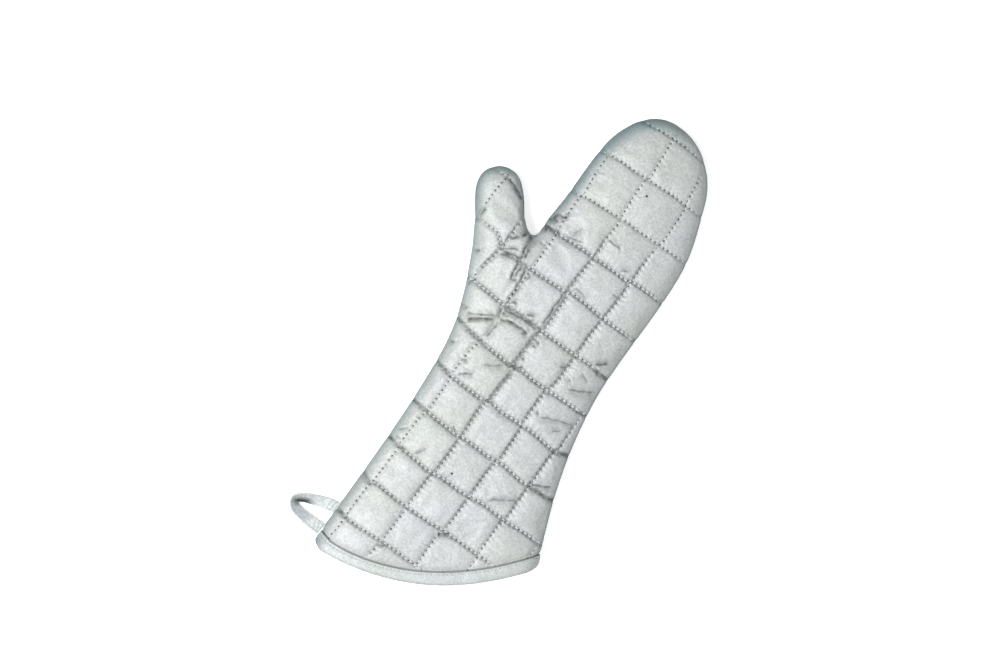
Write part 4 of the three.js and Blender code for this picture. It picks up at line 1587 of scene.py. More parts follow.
@dataclass(frozen=True)
class CreaseShape:
    """How the cloth lies at its creases, and the shade painted in and beside them."""

    # Places further off than this don't feel a crease
    reach: float = 9
    change: Pair = (0.85, 0.25)
    waver: Pair = (0.45, 0.5)
    # What is left of its depth and of its darkness at its ends
    end_depth: float = 0.12
    end_dark: float = 0.1
    puff: float = 1.7
    puff_bell: Pair = (1.3, 1.1)
    core: float = 1.3
    core_width: Pair = (0.3, 0.28)
    shadow: float = 0.4
    shadow_width: Pair = (1, 1.5)
    shadow_side: float = -1.3
    dark: Pair = (0.42, 0.38)

    def press(self, places: Array, creases: Sequence[Crease]) -> tuple[Array, Array]:
        """Work out what creases do at each place.

        Args:
            places: rows of x and y.
            creases: the creases.

        Returns:
            How deep they press it in, and how dark their painted shade makes it from 0 to 1.
        """
        groove, dark = np.zeros(len(places)), np.zeros(len(places))
        for number, crease in enumerate(creases):
            course, width = crease.line.points, crease.width
            low, high = course.min(0) - self.reach, course.max(0) + self.reach
            close = np.flatnonzero(((places > low) & (places < high)).all(1))
            offset, run = crease.line.offset_of(places[close])
            ends = np.minimum(run, crease.line.length - run)
            lively = changing(self.change, uneven(run, 7, number + 0.5))
            ease = smoothstep(ends / crease.ease) * lively
            waver = min(self.waver[0], self.waver[1] / crease.depth)
            offset = offset + waver * uneven(run, 10, number)
            cut = np.exp(-np.abs(offset) / width) * (self.end_depth + (1 - self.end_depth) * ease)
            beside = np.sign(crease.puff or 1) * offset
            puff = self.puff * abs(crease.puff) * ease * bell(beside - width, *self.puff_bell)
            groove[close] += crease.depth * cut - puff
            core = self.core * bell(offset, changing(self.core_width, width))
            shadow = self.shadow * bell(beside, changing(self.shadow_width, width), self.shadow_side)
            deep = min(1, changing(self.dark, crease.depth))
            mark = deep * (self.end_dark + (1 - self.end_dark) * ease)
            mark = mark * np.maximum(np.minimum(1, core), shadow)
            dark[close] = np.maximum(dark[close], mark)
        return groove, dark


@dataclass(frozen=True)
class Puckers:
    """Small rise and fall of gathered cloth beside the stitches, and wrinkles all over it."""

    bead: float = 0.4
    bead_width: float = 1.3
    dimple: float = 0.45
    dimple_width: float = 0.8
    # Scallops beside a line, and how much more of them there is where it lies in a fold
    scallop: Pair = (0.25, 0.5)
    scallop_bell: Pair = (1.0, 1.9)
    # Rays that run out from the line, on its left or upper side and on the other
    rays: Pair = (0.3, 0.16)
    ray_change: Pair = (0.75, 0.45)
    ray_reach: float = 3
    ray_start: float = 1.5
    gather: float = 0.2
    gather_apart: float = 6.2
    gather_sway: float = 1.6
    gather_bell: Pair = (2.2, 2.6)
    gather_change: Pair = (0.6, 0.4)
    # Layers of wrinkles: height, how far apart they run, angle from +X in radians, and seed
    wrinkles: tuple[tuple[float, float, float, int], ...] = ((0.75, 8.3, 0.6, 1), (0.45, 6.1, -0.5, 2))

    def beside(self, line: Stitched, share: Array) -> Array:
        """Rise and fall of the cloth beside a line of stitches.

        Args:
            line: where the places lie beside the line.
            share: how hard the line pulls there.

        Returns:
            Heights along the face's normal: dimples at the needle holes, small beads between
            them, and gathers that run out from the line and fade away from it.
        """
        left = line.side > 0
        wave = np.cos(2 * math.pi * line.run / STITCH)
        bead = -self.bead * share * wave * bell(line.gap, self.bead_width) * ~line.hidden
        dimple = -self.dimple * np.clip(wave, 0, 1) ** 5 * bell(line.gap, self.dimple_width)
        dimple = dimple * ~line.hidden
        scallop = share * changing(self.scallop, line.hidden) * (0.5 - 0.5 * wave)
        bead = bead + scallop * bell(line.side, *self.scallop_bell)
        lively = changing(self.ray_change, uneven(line.run, 19, 1.3 * line.number + left))
        ray = np.where(left, *self.rays) * share * lively * -wave
        bead = bead + ray * np.exp(-line.gap / self.ray_reach) * ramp(line.gap, 0, self.ray_start)
        # Each side of each line has its own seed
        swell = uneven(line.run, 17, (line.number + 0.37 * left) * 2.9)
        turn = math.pi * line.run / self.gather_apart + self.gather_sway * swell
        gather = 1 - 2 * np.abs(np.sin(turn))
        near = bell(line.gap, *self.gather_bell) * changing(self.gather_change, swell)
        return bead + dimple + self.gather * share * gather * near

    def rumple(self, places: Array) -> Array:
        """Height of fine wrinkles all over the cloth, which bend, break off and have sharp crests."""
        total, (x, y) = np.zeros(len(places)), places.T
        for height, apart, lean, seed in self.wrinkles:
            along = x * math.cos(lean) + y * math.sin(lean)
            across = y * math.cos(lean) - x * math.sin(lean)
            bend = 1.4 * uneven(along, 27, seed) + 0.8 * uneven(across, 19, seed + 1)
            crest = (1 - np.abs(np.sin(math.pi * across / apart + bend))) ** 2
            broken = uneven(along + 0.6 * across, 21, seed + 2)
            total += height * crest * broken * uneven(across - 0.3 * along, 33, seed + 3)
        return total


@dataclass
class QuiltedPanel:
    """One quilted panel: outer face, wadding and lining as one padded wall."""

    side: Side
    node: str
    form: Form
    plan: PanelPlan
    ground: Ground
    wall: float = 6
    pressed_outer: float = 1.6
    pressed_inner: float = 5
    row_depth: float = 2.4
    row_change: float = 0.15
    column_depth: float = 1.9
    valley: float = 2.7
    valley_power: float = 1.1
    # Sharp furrow that the thread cuts on each side of itself, shallower and uneven on the far side
    furrow: float = 1.0
    furrow_bell: Pair = (0.85, 1.25)
    far_furrow: Pair = (0.45, 0.35)
    most_depth: float = 4.4
    # Towards the side seam the valleys fade to notches, and the creases and puckers fade out
    quilted: Pair = (1, 8)
    row_notch: float = 0.9
    column_notch: float = 0.6
    notch_width: float = 2
    creased: Pair = (0.4, 2)
    puckered: Pair = (1.5, 5)
    # Painted shade: how much darker the rows look than their pull says, and the far side of rows and columns
    row_shade: float = 0.15
    far_shades: Pair = (0.45, 0.1)
    # Painted shadow under the tape's edge
    tape_shade: float = 0.6
    tape_shade_rise: Pair = (0.8, 0.15)
    # The simulation holds what lies this near to a line of stitches or to the side seam
    held_line: float = 0.4
    held_seam: float = 2.5
    # Painted shade in the needle holes: how faint it is and how that changes, and the same for how tight the
    # holes are
    hole_fade: Pair = (0.18, 0.25)
    hole_pull: Pair = (0.8, 0.5)
    # The lines of stitches end this far from the side seam
    unstitched: float = 3.2
    # The lining: places apart, depth and width of its hollows, and its fade to the seam and tape
    lining_step: float = 4.5
    lining_hollow: float = 0.8
    hollow_width: float = 5
    hollow_rise: Pair = (2, 7)
    lining_free: Pair = (9.8, 6)
    # The front panel's lining hangs down so far, from one distance off the seam to another
    lining_sag: float = 0.8
    sag_reach: Pair = (10, 30)
    # Painted shade beside the seam: its width, and more of it at the tips and in the fingers
    painted_rim_width: tuple[float, float, float] = (3.6, 1.5, 4)
    painted_rim_dark: Pair = (0.45, 0.25)
    painted_rim_side: tuple[float, float, float] = (0.45, 0.73, 0.17)
    thin_painted_rim: Pair = (0.5, 1.3)
    crotch_clear: float = 14
    # Start and length of the rises from palm to fingers, to their upper half and to the thumb
    hand_y: Pair = (85, 50)
    finger_y: Pair = (150, 40)
    thumb: tuple[Pair, Pair] = ((-55, -10), (60, 30))
    # The same for the loose cloth in palm and wrist, and along the right edge
    palm: tuple[Pair, Pair] = ((-75, 30), (75, -30))
    edge: tuple[Pair, Pair, Pair] = ((25, 25), (-125, 30), (110, -30))
    edge_slack: float = 0.8
    slackness: Pair = (0.15, 0.85)
    shade: StitchShade = StitchShade()
    crease_shape: CreaseShape = CreaseShape()
    pucker: Puckers = Puckers()
    creases: tuple[Crease, ...] = ()
    outer_points: Array = field(init=False)

    def strengths(self, row: Stitched, column: Stitched) -> tuple[Array, Array]:
        """How hard the rows and the columns pull at each place, about 1 at the hardest."""
        quilting = self.plan.quilting
        deep = quilting.deepness(self.ground.places)
        share = np.array([c.strength for c in quilting.columns])[column.number]
        return deep * (1 + self.row_change * uneven(row.run, 31, row.number)), deep * share

    def relief(self) -> tuple[Array, Array, Stitched, Stitched]:
        """Work out how deep the stitches and creases pull the outer face in.

        Returns:
            Depth at each place, how dark its painted shade is from 0 to 1, and the nearest row and column.
        """
        row, column = self.plan.quilting.beside(self.ground.places)
        distance = self.ground.near.distance
        row_share, column_share = self.strengths(row, column)
        pulls, furrows = [], []
        for line, share in ((row, row_share), (column, column_share)):
            pulls.append(share * np.exp(-((line.gap / self.valley) ** self.valley_power)))
            far = changing(self.far_furrow, uneven(line.run, 23, line.number))
            lower = np.where(line.side < 0, 1, far)
            furrows.append(self.furrow * share * lower * bell(line.gap, *self.furrow_bell))
        depth = self.row_depth * pulls[0] + self.column_depth * pulls[1] * (1 - pulls[0])
        depth = depth + np.maximum(furrows[0], furrows[1])
        fade = ramp(distance, *self.quilted)
        notch = self.row_notch * bell(row.gap, self.notch_width)
        notch = notch + self.column_notch * bell(column.gap, self.notch_width)
        depth = depth * fade + notch * (1 - fade)
        # Painted shade along the rows and columns, and in and beside the creases
        painted_line_shade = np.maximum(
            self.shade.along(row, row_share + self.row_shade, self.far_shades[0]),
            self.shade.along(column, column_share * fade, self.far_shades[1]),
        )
        groove, dark = self.crease_shape.press(self.ground.places, self.creases)
        depth = depth + groove * ramp(distance, *self.creased)
        depth = np.where(depth > 0, self.most_depth * np.tanh(depth / self.most_depth), depth)
        return depth, np.clip(np.maximum(painted_line_shade, dark), 0, 1), row, column

    def pressing(self) -> Array:
        """How far each place is pressed in by the tape: 1 inside it and 0 free of it."""
        rows = len(self.plan.under_tape)
        heights = np.array([0] * rows + list(self.plan.above_tape) + [self.plan.above_tape[-1]])
        height = heights[self.plan.row_of]
        low, high = self.plan.above_tape[0], self.plan.above_tape[-1]
        free = ramp(height, low, high - low)
        return np.where(self.plan.row_of >= rows + len(self.plan.above_tape), 0, 1 - free)

    def outer_face(self) -> tuple[Array, dict[str, Array]]:
        """Shape the outer face: quilted relief, plumped by simulation, then puckered.

        Returns:
            Points of the face, and the numbers that the cloth's material reads.
        """
        depth, crease, row, column = self.relief()
        pressed = self.pressing()
        offset = -depth * (1 - pressed) - self.pressed_outer * pressed
        # Painted shadow under the tape's edge, where the cloth dips beneath it
        under_tape = self.tape_shade * ramp(pressed, *self.tape_shade_rise)
        crease = np.maximum(crease * (1 - pressed), under_tape)
        points = self.form.surface(self.side, self.ground, offset)
        triangles = self.facing(self.plan.triangles)
        held = np.maximum.reduce(
            [
                row.gap < self.held_line,
                column.gap < self.held_line,
                self.ground.near.distance < self.held_seam,
                self.plan.row_of <= len(self.plan.under_tape) + len(self.plan.above_tape) - 1,
            ]
        )
        points = ClothRun().settle(points, triangles, held.astype(float), self.slack())
        points[:, 2] = np.maximum(points[:, 2], 0)
        points = points + self.normals(points, triangles) * self.puckers(row, column, pressed)[:, None]
        points[:, 2] = np.maximum(points[:, 2], 0)
        # Painted shade: crease carries the shade of creases, stitch valleys and the tape's edge, rim the
        # shade beside the seam
        numbers = {"crease": crease, "rim": self.rim()}
        shares = self.strengths(row, column)
        for name, line, share in zip(("row", "column"), (row, column), shares):
            weak = changing(self.hole_fade, uneven(line.run, 11, line.number))
            gone = line.hidden | (self.ground.near.distance < self.unstitched)
            seen = line.gap * changing(self.hole_pull, share) + weak
            numbers[f"{name}_gap"] = np.where(gone, FAR, seen)
            numbers[f"{name}_run"] = line.run
        return points, numbers

    def rim(self) -> Array:
        """Painted shade on the cloth beside the seam: most at fingertips and on the left."""
        (x, y), near = self.ground.places.T, self.ground.near
        thumb = ramp(x, *self.thumb[0]) * ramp(y, *self.thumb[1])
        tips = np.maximum(ramp(y, *self.hand_y), thumb)
        start, upwards, sideways = self.painted_rim_side
        left = smoothstep(start + upwards * near.along[:, 1] + sideways * near.along[:, 0])
        least, at_tips, in_fingers = self.painted_rim_width
        width = least + at_tips * tips + in_fingers * ramp(y, *self.finger_y)
        broad = changing(self.painted_rim_dark, tips) * left * bell(near.distance, width)
        thin = self.thin_painted_rim[0] * (1 - left) * bell(near.distance, self.thin_painted_rim[1])
        away = np.hypot(x - self.form.crotch[0], y - self.form.crotch[1])
        crotch = bell(away, self.crotch_clear)
        return (broad + thin) * (1 - crotch)

    def slack(self) -> Array:
        """How much cloth is to spare: most in the palm and wrist, where the mitten bends."""
        x, y = self.ground.places.T
        palm = ramp(y, *self.palm[0]) * ramp(y, *self.palm[1])
        edge = ramp(x, *self.edge[0]) * ramp(y, *self.edge[1]) * ramp(y, *self.edge[2])
        return np.clip(changing(self.slackness, np.maximum(palm, self.edge_slack * edge)), 0, 1)

    def puckers(self, row: Stitched, column: Stitched, pressed: Array) -> Array:
        """Rise and fall of the cloth along the face's normal.

        Args:
            row: nearest rows of stitches.
            column: nearest columns of stitches.
            pressed: how far the tape presses each place.

        Returns:
            Heights at each place, fading out at the side seam and the tape.
        """
        shares = self.strengths(row, column)
        total = sum(self.pucker.beside(line, share) for line, share in zip((row, column), shares))
        total = total + self.slack() * self.pucker.rumple(self.ground.places)
        return total * ramp(self.ground.near.distance, *self.puckered) * (1 - pressed)

    def facing(self, triangles: Array) -> Array:
        """Turn a plan's triangles so that they look out of this panel."""
        return triangles if self.side is Side.FRONT else triangles[:, ::-1]

    @staticmethod
    def normals(points: Array, triangles: Array) -> Array:
        """Normal at each point, from the triangles round it."""
        a, b, c = (points[triangles[:, i]] for i in range(3))
        face = np.cross(b - a, c - a)
        total = np.zeros_like(points)
        for i in range(3):
            np.add.at(total, triangles[:, i], face)
        return total / np.maximum(np.linalg.norm(total, axis=1, keepdims=True), 1e-12)

    def inner_face(self) -> tuple[Array, Array]:
        """Shape the lining: its edge follows the outer face's, and its middle is coarser.

        Returns:
            Points, the edge's first in the order of the plan's edge, and triangles that look out
            of the lining, into the hollow.
        """
        edge = self.plan.edge
        loop = self.plan.places[edge]
        crowd = Crowd(self.lining_step, loop)
        low, high = loop.min(0), loop.max(0)
        for shift in (0, 0.5):
            x, y = np.meshgrid(
                np.arange(low[0], high[0], self.lining_step) + shift * self.lining_step,
                np.arange(low[1], high[1], self.lining_step) + shift * self.lining_step,
            )
            grid = np.stack([x.ravel(), y.ravel()], axis=1)
            crowd.add(grid[inside(loop, grid)], 0.5 * self.lining_step)
        places = np.array(crowd.kept)
        lean = np.full_like(places, np.nan)
        lean[: len(edge)] = self.plan.lean[edge]
        ground = self.form.measure(places, lean)
        lines = [bell(line.gap, self.hollow_width) for line in self.plan.quilting.beside(places)]
        hollow = np.maximum(*lines) * ramp(ground.near.distance, *self.hollow_rise)
        pressed = 1 - ramp(self.cuff_gap(places), *self.lining_free)
        offset = (-self.wall + self.lining_hollow * hollow) * (1 - pressed) - self.pressed_inner * pressed
        if self.side is Side.FRONT:
            offset -= np.interp(ground.reach, self.sag_reach, (0, self.lining_sag))
        points = self.form.surface(self.side, ground, offset)
        triangles = fill_loop(list(range(len(edge))), places)
        return points, self.facing(triangles)[:, ::-1]

    def cuff_gap(self, places: Array) -> Array:
        """Distance of places from the cuff's bottom edge."""
        bottom = self.plan.cuff.bottom
        return np.concatenate(
            [
                np.linalg.norm(part[:, None] - bottom[None], axis=2).min(1)
                for part in np.array_split(places, max(1, len(places) // 2000))
            ]
        )

    def build(self, finishes: Finishes) -> None:
        """Make the panel as one closed body, dress it and put it in the CAD node's place.

        Args:
            finishes: the materials.
        """
        outer, numbers = self.outer_face()
        inner, lining = self.inner_face()
        outer_faces = self.facing(self.plan.triangles)
        edge = np.array(self.plan.edge)
        below = np.arange(len(edge)) + len(outer)
        ahead, ahead_below = np.roll(edge, -1), np.roll(below, -1)
        rim = np.stack([edge, below, ahead_below, ahead], axis=1)
        if self.side is Side.BACK:
            rim = rim[:, ::-1]
        faces = outer_faces.tolist() + (lining + len(outer)).tolist() + rim.tolist()
        panel = make_mesh(f"{self.node}_cloth", np.concatenate([outer, inner]), faces)
        for name, values in numbers.items():
            far = FAR if name.endswith("gap") else 0.0
            write_attribute(panel, name, np.concatenate([values, np.full(len(inner), far)]))
        kinds = np.zeros(len(faces), np.int32)
        kinds[len(outer_faces) :] = 1
        dress(panel, (finishes.cloth, finishes.lining), self.node)
        panel.data.polygons.foreach_set("material_index", kinds)
        self.outer_points = outer


def add_stitch(points: list, faces: list, course: Array, thickest: float, sides: int = 6) -> None:
    """Add one stitch as a closed tube with narrowed ends.

    Args:
        points: all points so far, in millimetres.
        faces: all faces so far.
        course: the stitch's centre line.
        thickest: the thread's radius.
        sides: how many flat sides the thread has.
    """
    first, count = len(points), len(course)
    along = unit(np.gradient(course, axis=0))
    across = unit(np.cross(along, [0, 0, 1.0]))
    up = np.cross(across, along)
    for i, centre in enumerate(course):
        radius = thickest * (0.7 if i in (0, count - 1) else 1)
        for k in range(sides):
            turn = 2 * math.pi * k / sides
            points.append(centre + radius * (math.cos(turn) * across[i] + math.sin(turn) * up[i]))
    for i in range(count - 1):
        for k in range(sides):
            a, b = first + i * sides + k, first + i * sides + (k + 1) % sides
            faces.append([a, a + sides, b + sides, b])
    faces.append([first + k for k in range(sides)])
    faces.append([first + (count - 1) * sides + k for k in reversed(range(sides))])


@dataclass
class Stitching:
    """Sewing thread that shows between the needle holes of one panel."""

    name: str
    panel: QuiltedPanel
    row_radius: float = 0.5
    column_radius: float = 0.36
    sink: float = 0.7
    rise: float = 0.25
    # The thread is thinner where the stitches pull gently: shares of its radius by how deep they pull
    thin_at: Floats = (0.4, 0.42, 0.9)
    thin_share: Floats = (0.4, 0.6, 1)
    # Half of a stitch's seen length as a share of the stitch, and how much that changes
    half_seen: Pair = (0.27, 0.05)
    # No stitches this near to the cuff's bottom edge
    cuff_clear: float = 12

    def build(self, finishes: Finishes) -> None:
        """Lay a stitch between each two neighbouring needle holes.

        Args:
            finishes: the materials.
        """
        points, faces = [], []
        quilting, plan = self.panel.plan.quilting, self.panel.plan
        tree = BVHTree.FromPolygons(
            self.panel.outer_points.tolist(), self.panel.facing(plan.triangles).tolist()
        )
        loop = plan.places[plan.edge]
        lines = quilting.row_lines + quilting.column_lines
        for line, sewn in zip(lines, quilting.rows + quilting.columns):
            starts = np.arange(0, line.length - quilting.stitch, quilting.stitch)
            middle = line.at(starts + quilting.stitch / 2)
            shown = inside(loop, middle) & (plan.seam.near(middle).distance > self.panel.unstitched)
            shown &= self.panel.cuff_gap(middle) > self.cuff_clear
            upright = isinstance(sewn, StitchColumn)
            shown &= ~quilting.is_hidden(sewn, middle[:, int(upright)])
            thickest = self.column_radius if upright else self.row_radius
            radii = thickest * np.interp(quilting.deepness(middle), self.thin_at, self.thin_share)
            for start, radius in zip(starts[shown], radii[shown]):
                reach = float(changing(self.half_seen, uneven(start, 13, 5)))
                runs = start + quilting.stitch * np.linspace(0.5 - reach, 0.5 + reach, 6)
                course = self.on_surface(tree, line.at(runs))
                if course is not None:
                    add_stitch(points, faces, course, radius)
        stitching = make_mesh(self.name, np.array(points), faces)
        dress(stitching, (finishes.thread,))

    def on_surface(self, tree: BVHTree, places: Array) -> Array | None:
        """Put places on the outer face, arched from hole to hole.

        Args:
            tree: the outer face.
            places: rows of x and y along one stitch.

        Returns:
            The stitch's centre line, or None where the face is missed.
        """
        way = Vector((0, 0, -self.panel.side.value))
        course = []
        for (x, y), t in zip(places, np.linspace(-1, 1, len(places))):
            hit = tree.ray_cast(Vector((x, y, 60 * self.panel.side.value)), way)
            if hit[0] is None:
                return None
            arch = self.rise - (self.rise + self.sink) * t**4
            course.append(np.array(hit[0]) - np.array(way) * arch)
        course = np.array(course)
        course[:, 2] = np.maximum(course[:, 2], self.row_radius)
        return course


@dataclass
class CuffBinding:
    """Folded tape round the cuff: a U whose legs lie outside and inside the panels."""

    form: Form
    cuff: Cuff
    node: str = "cuff_binding"
    thickness: float = 1.3
    gap: float = 0.3
    pressed_wall: float = 3.4
    stitch_line: float = 1.7
    stitch: float = 3.2
    thread: float = 0.28
    flat_width: float = 26
    wrinkle: float = 0.16
    wrinkle_apart: float = 6.5
    wrinkle_lean: float = 0.9
    # The wrinkles fade out this near to the corners, and where the tape turns in
    corner: float = 10
    outside_from: float = -1
    # Painted shade at the cuff's left corner: how dark it is and how far it reaches
    painted_corner_shade: float = 0.6
    corner_width: float = 7
    # Row of the section in which the thread lies
    groove_row: int = 6
    # Rows of the section that lie in a crease and get painted shade: upper edge, seam and bottom fold
    dark_rows: tuple[tuple[int, float], ...] = ((0, 0.65), (1, 0.6), (2, 0.15), (6, 0.7), (14, 0.3))
    dark_change: Pair = (0.7, 0.3)

    def section(self) -> list[tuple[float, float, float]]:
        """Half of the tape's section, from its upper edge outside round to its inner edge.

        Returns:
            Rows of share of the width, distance added to it, and offset from the crown surface.
        """
        under = -self.thickness
        inner = under - 2 * self.gap - self.pressed_wall
        last = inner - self.thickness
        fold = (inner + under) / 2
        return [
            (1, 0, under),
            (1, 0.05, under * 0.75),
            (1, 0, under * 0.4),
            (1, -0.35, -0.15),
            (1, -0.9, -0.1),
            (1, -self.stitch_line + 0.35, -0.22),
            (1, -self.stitch_line, -0.42),
            (1, -self.stitch_line - 0.35, -0.22),
            (1, -self.stitch_line - 1.0, 0),
            (0.6, 0, 0.12),
            (0.45, 0, 0.12),
            (0, 2.6, 0.0),
            (0, 1.5, -0.25),
            (0, 0.7, -0.8),
            (0, 0.2, -1.7),
            (0, 0, fold),
            (0, 0.2, last + 1.7),
            (0, 0.7, last + 0.8),
            (0, 1.5, last + 0.25),
            (0, 2.6, last),
            (0.6, 0, last),
            (1, -self.stitch_line, last + 0.3),
            (1, -0.4, last),
            (1, 0, (inner + last) / 2),
            (1, -0.4, inner),
            (0, self.thickness + 0.3, inner),
            (0, self.thickness, (under + inner) / 2),
            (0, self.thickness + 0.3, under),
        ]

    def build(self, finishes: Finishes) -> None:
        """Sweep the section round the cuff and put it in the CAD node's place.

        Args:
            finishes: the materials.
        """
        rings: list[Array] = []
        for side in Side:
            columns = []
            for k, (share, extra, offset) in enumerate(self.section()):
                inwards = share * self.cuff.width + extra
                places, lean = self.cuff.across(inwards)
                ground = self.form.measure(places, lean)
                run = self.cuff.arcs + self.wrinkle_lean * inwards
                wave = uneven(run, self.wrinkle_apart, k // 9 + side.value) * self.wrinkle
                corner = smoothstep(self.cuff.arcs / self.corner)
                ease = corner * smoothstep(self.cuff.arcs[::-1] / self.corner)
                outside = 1.0 if offset > self.outside_from else 0.0
                points = self.form.surface(side, ground, offset + wave * ease * outside)
                points[[0, -1], 2] = self.form.seam_height
                columns.append(points)
            rings.append(np.stack(columns, axis=1))
        around = np.concatenate([rings[0], rings[1][::-1][1:-1]])
        count, size = around.shape[:2]
        faces = swept_faces(count, size, closed=True)
        binding = make_mesh("cuff_tape_band", around.reshape(-1, 3), faces)
        # Painted shade in the tape's creases, and at its left corner through the rim attribute
        dark = np.zeros(around.shape[:2])
        for k, amount in self.dark_rows:
            dark[:, k] = amount * changing(self.dark_change, uneven(np.arange(count), 9, k))
        write_attribute(binding, "crease", dark.ravel())
        away = np.linalg.norm(around[..., :2] - self.cuff.bottom[0], axis=2)
        write_attribute(binding, "rim", self.painted_corner_shade * bell(away, self.corner_width).ravel())
        dress(binding, (finishes.tape,), self.node)
        self.sew(around[:, self.groove_row], finishes)

    def sew(self, groove: Array, finishes: Finishes) -> None:
        """Lay the thread that holds the tape, stitch by stitch.

        Args:
            groove: points round the cuff along the groove that the seam pulls in.
            finishes: the materials.
        """
        ring = np.concatenate([groove, groove[:1]])
        runs = runs_along(ring)
        points, faces = [], []
        for start in np.arange(0, runs[-1] - self.stitch, self.stitch):
            at = start + self.stitch * np.linspace(0.2, 0.8, 4)
            course = np.stack([np.interp(at, runs, ring[:, i]) for i in range(3)], axis=1)
            course[:, 2] = np.maximum(course[:, 2], self.thread)
            add_stitch(points, faces, course, self.thread)
        thread = make_mesh("cuff_stitching", np.array(points), faces)
        dress(thread, (finishes.thread,))


@dataclass
class HangingLoop:
    """Flat tape that runs out of the side seam, turns on edge at its end and runs back."""

    node: str = "hanging_loop"
    width: float = 9.5
    thickness: float = 1.6
    steps: int = 90
    # Half of the tape's face, ribbed along its edge: place across and how thick it is, as shares
    profile: tuple[Pair, ...] = (
        *((-1, 0.3), (-0.97, 0.75), (-0.9, 1), (-0.8, 1.02)),
        *((-0.72, 0.82), (-0.6, 0.95), (-0.3, 0.9), (0, 0.88)),
    )
    # Puckers near both ends, their height and how far they reach, and waves along the tape
    end_pucker: Pair = (0.35, 5)
    wave: float = 0.1
    # How fast the puckers turn across the tape, and the waves along and across it
    pucker_turn: float = 1.9
    wave_turn: Pair = (0.8, 0.9)
    # Painted shade in lines where the tape is pinched, so far from each end, and how dark and wide they are
    pinches: Pair = (3, 6.4)
    pinch_dark: float = 0.4
    pinch_width: float = 0.45
    pinch_slant: float = 0.3
    # Middle of the turn as a share of the length, and half the length of its shade
    turn_at: float = 0.43
    turn_reach: float = 10

    def course(self) -> tuple[Array, Array]:
        """Centre line of the tape and its tilt.

        Returns:
            Points along the line and the tilt at each, in radians.
        """
        knots = np.array([[k.x, k.y, k.z, math.radians(k.tilt)] for k in LOOP_KNOTS])
        chords = np.sqrt(np.linalg.norm(np.diff(knots[:, :3], axis=0), axis=1))
        t = np.concatenate([[0], np.cumsum(chords)])
        slopes = np.gradient(knots, t, axis=0)
        at = np.linspace(0, t[-1], self.steps + 1)
        k = np.clip(np.searchsorted(t, at, side="right") - 1, 0, len(t) - 2)
        span = (t[k + 1] - t[k])[:, None]
        u = ((at - t[k])[:, None]) / span
        line = (
            (2 * u**3 - 3 * u**2 + 1) * knots[k]
            + (u**3 - 2 * u**2 + u) * span * slopes[k]
            + (3 * u**2 - 2 * u**3) * knots[k + 1]
            + (u**3 - u**2) * span * slopes[k + 1]
        )
        return line[:, :3], line[:, 3]

    def build(self, finishes: Finishes) -> None:
        """Sweep the tape's section along its course.

        Args:
            finishes: the materials.
        """
        line, tilt = self.course()
        along = np.gradient(line, axis=0)
        along[:, 2] = 0
        along = unit(along)
        up = np.array([0, 0, 1.0])
        outwards = np.cross(along, up)
        wide = np.cos(tilt)[:, None] * up + np.sin(tilt)[:, None] * outwards
        thin = np.cross(wide, along)
        w, h = self.width / 2, self.thickness / 2
        face = list(self.profile) + [(-u, v) for u, v in self.profile[-2::-1]]
        outline = [(u * w, v * h) for u, v in face] + [(u * w, -v * h) for u, v in reversed(face)]
        run = runs_along(line)
        points, dark = [], []
        for i, centre in enumerate(line):
            nearest_end = min(run[i], run[-1] - run[i])
            ends = math.exp(-nearest_end / self.end_pucker[1]) * self.end_pucker[0]
            # The tape's inner edge lies in the shade of the turn
            turn = math.exp(-(((run[i] - self.turn_at * run[-1]) / self.turn_reach) ** 4))
            for u, v in outline:
                phase = self.wave_turn[0] * run[i] + self.wave_turn[1] * u
                ripple = ends * math.sin(self.pucker_turn * u) + self.wave * math.sin(phase)
                points.append(centre + u * wide[i] + (v + ripple) * thin[i])
                slant = nearest_end + self.pinch_slant * u
                pinch = max(float(bell(slant - at, self.pinch_width)) for at in self.pinches)
                shade = turn * float(smoothstep(np.array(0.5 - u / w)))
                dark.append(max(self.pinch_dark * pinch, shade))
        size, count = len(outline), len(line)
        faces = [face[::-1] for face in swept_faces(count, size, closed=False)]
        faces.append(list(range(size)))
        faces.append([(count - 1) * size + i for i in reversed(range(size))])
        loop = make_mesh("loop_tape_band", np.array(points), faces)
        # Painted shade of the pinches and of the turn, in the crease attribute
        write_attribute(loop, "crease", np.array(dark))
        dress(loop, (finishes.loop,), self.node)


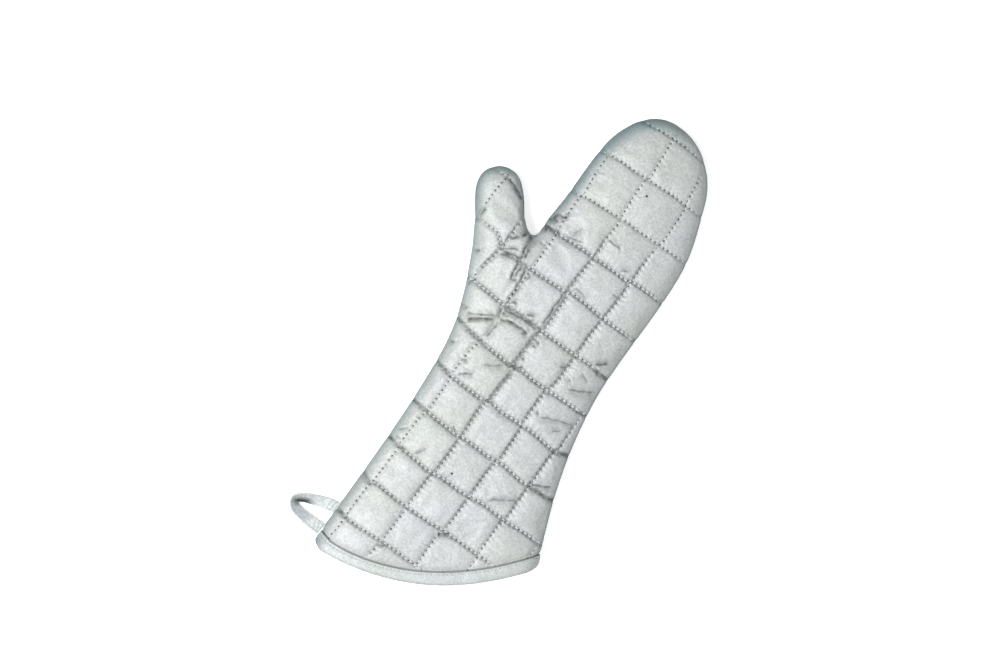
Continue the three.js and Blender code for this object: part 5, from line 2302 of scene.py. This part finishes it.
@dataclass
class Studio:
    """Pale floor, soft light from above and a camera that looks straight down."""

    view_width: float = 787.6
    view_centre: Pair = (-21.8, 3.1)
    view_turn: float = 32.0
    camera_height: float = 2400
    sensor: float = 36.0
    object_height: float = 20
    floor_half: float = 6000
    floor_drop: float = 0.2
    light_place: tuple[float, float, float] = (-1.0, -0.6, 1.95)
    # Surround: from the first tone up to the second between two heights, where 1 is straight up
    surround_tones: tuple[str, str] = ("2F4C55", "F4F5F6")
    surround_stops: Pair = (0.28, 0.75)
    surround_strength: float = 0.72
    backdrop: str = "F7F7F6"
    # How much brighter the surround is on the side away from the thumb
    surround_lean: float = 0.55

    def camera(self) -> None:
        """Add the camera over the mitten at the photograph's angle."""
        data = bpy.data.cameras.new("camera")
        data.sensor_width = self.sensor
        data.lens = self.sensor * (self.camera_height - self.object_height) / self.view_width
        data.clip_end = 50
        camera = bpy.data.objects.new("camera", data)
        camera.location = Vector((*self.view_centre, self.camera_height)) * MM
        camera.rotation_euler = Euler((0, 0, math.radians(self.view_turn)))
        bpy.context.scene.collection.objects.link(camera)
        bpy.context.scene.camera = camera

    def floor(self) -> None:
        """Add the floor, which lights the mitten's sides but isn't mirrored in it."""
        signs = np.array([[-1, -1], [1, -1], [1, 1], [-1, 1]])
        corners = np.column_stack([signs * self.floor_half, np.full(4, -self.floor_drop)])
        floor = make_mesh("floor", corners, [[0, 1, 2, 3]])
        floor.data.materials.append(Paper().material())
        floor.visible_glossy = False

    def lights(self) -> None:
        """Add one wide soft light above."""
        data = bpy.data.lights.new("softbox", "AREA")
        data.shape = "SQUARE"
        data.size = 1.3
        data.energy = 61
        softbox = bpy.data.objects.new("softbox", data)
        softbox.location = self.light_place
        aim = Vector((0, 0, 0)) - softbox.location
        softbox.rotation_euler = aim.to_track_quat("-Z", "Y").to_euler()
        bpy.context.scene.collection.objects.link(softbox)

    def surround(self) -> None:
        """Add a surround that is bright overhead and dim and bluish at the level of the floor."""
        world = bpy.data.worlds.new("surround")
        world.use_nodes = True
        tree = world.node_tree
        tree.nodes.clear()
        way = add_node(tree, "TexCoord")
        parts = add_node(tree, "SeparateXYZ", {}, {0: way.outputs["Generated"]})
        lift = add_node(
            tree, "Math", {1: self.surround_lean}, {0: parts.outputs["X"], 2: parts.outputs["Z"]},
            operation="MULTIPLY_ADD",
        )
        stops = zip(self.surround_stops, self.surround_tones)
        shade = add_node(tree, "ValToRGB", {}, {"Fac": lift.outputs[0]}, stops)
        glow = add_node(
            tree, "Background", {"Strength": self.surround_strength}, {"Color": shade.outputs["Color"]}
        )
        backdrop = add_node(tree, "Background", {"Color": linear(self.backdrop)})
        seen = add_node(tree, "LightPath")
        both = add_node(
            tree, "MixShader", {},
            {0: seen.outputs["Is Camera Ray"], 1: glow.outputs[0], 2: backdrop.outputs[0]},
        )
        add_node(tree, "OutputWorld", {}, {"Surface": both.outputs[0]})
        bpy.context.scene.world = world

    def build(self) -> None:
        """Set up everything round the mitten."""
        self.camera()
        self.floor()
        self.lights()
        self.surround()
        bpy.context.scene.view_settings.view_transform = "Standard"


def main() -> None:
    """Build the studio and the mitten, piece by piece."""
    logging.basicConfig(level=logging.INFO, format="%(name)s: %(message)s")
    Studio().build()
    finishes = Finishes.make()
    seam = Seam()
    form, cuff, quilting = Form(seam), Cuff(seam), Quilting()
    plan = PanelPlan(seam, cuff, quilting, CREASES)
    LOG.info("plan: %d places, %d triangles", len(plan.places), len(plan.triangles))
    ground = form.measure(plan.places, plan.lean)
    front = QuiltedPanel(Side.FRONT, "front_panel", form, plan, ground, creases=CREASES)
    back = QuiltedPanel(Side.BACK, "back_panel", form, plan, ground)
    for panel in (front, back):
        panel.build(finishes)
    Stitching("front_stitching", front).build(finishes)
    Stitching("back_stitching", back).build(finishes)
    CuffBinding(form, cuff).build(finishes)
    HangingLoop().build(finishes)


if __name__ == "__main__":
    main()
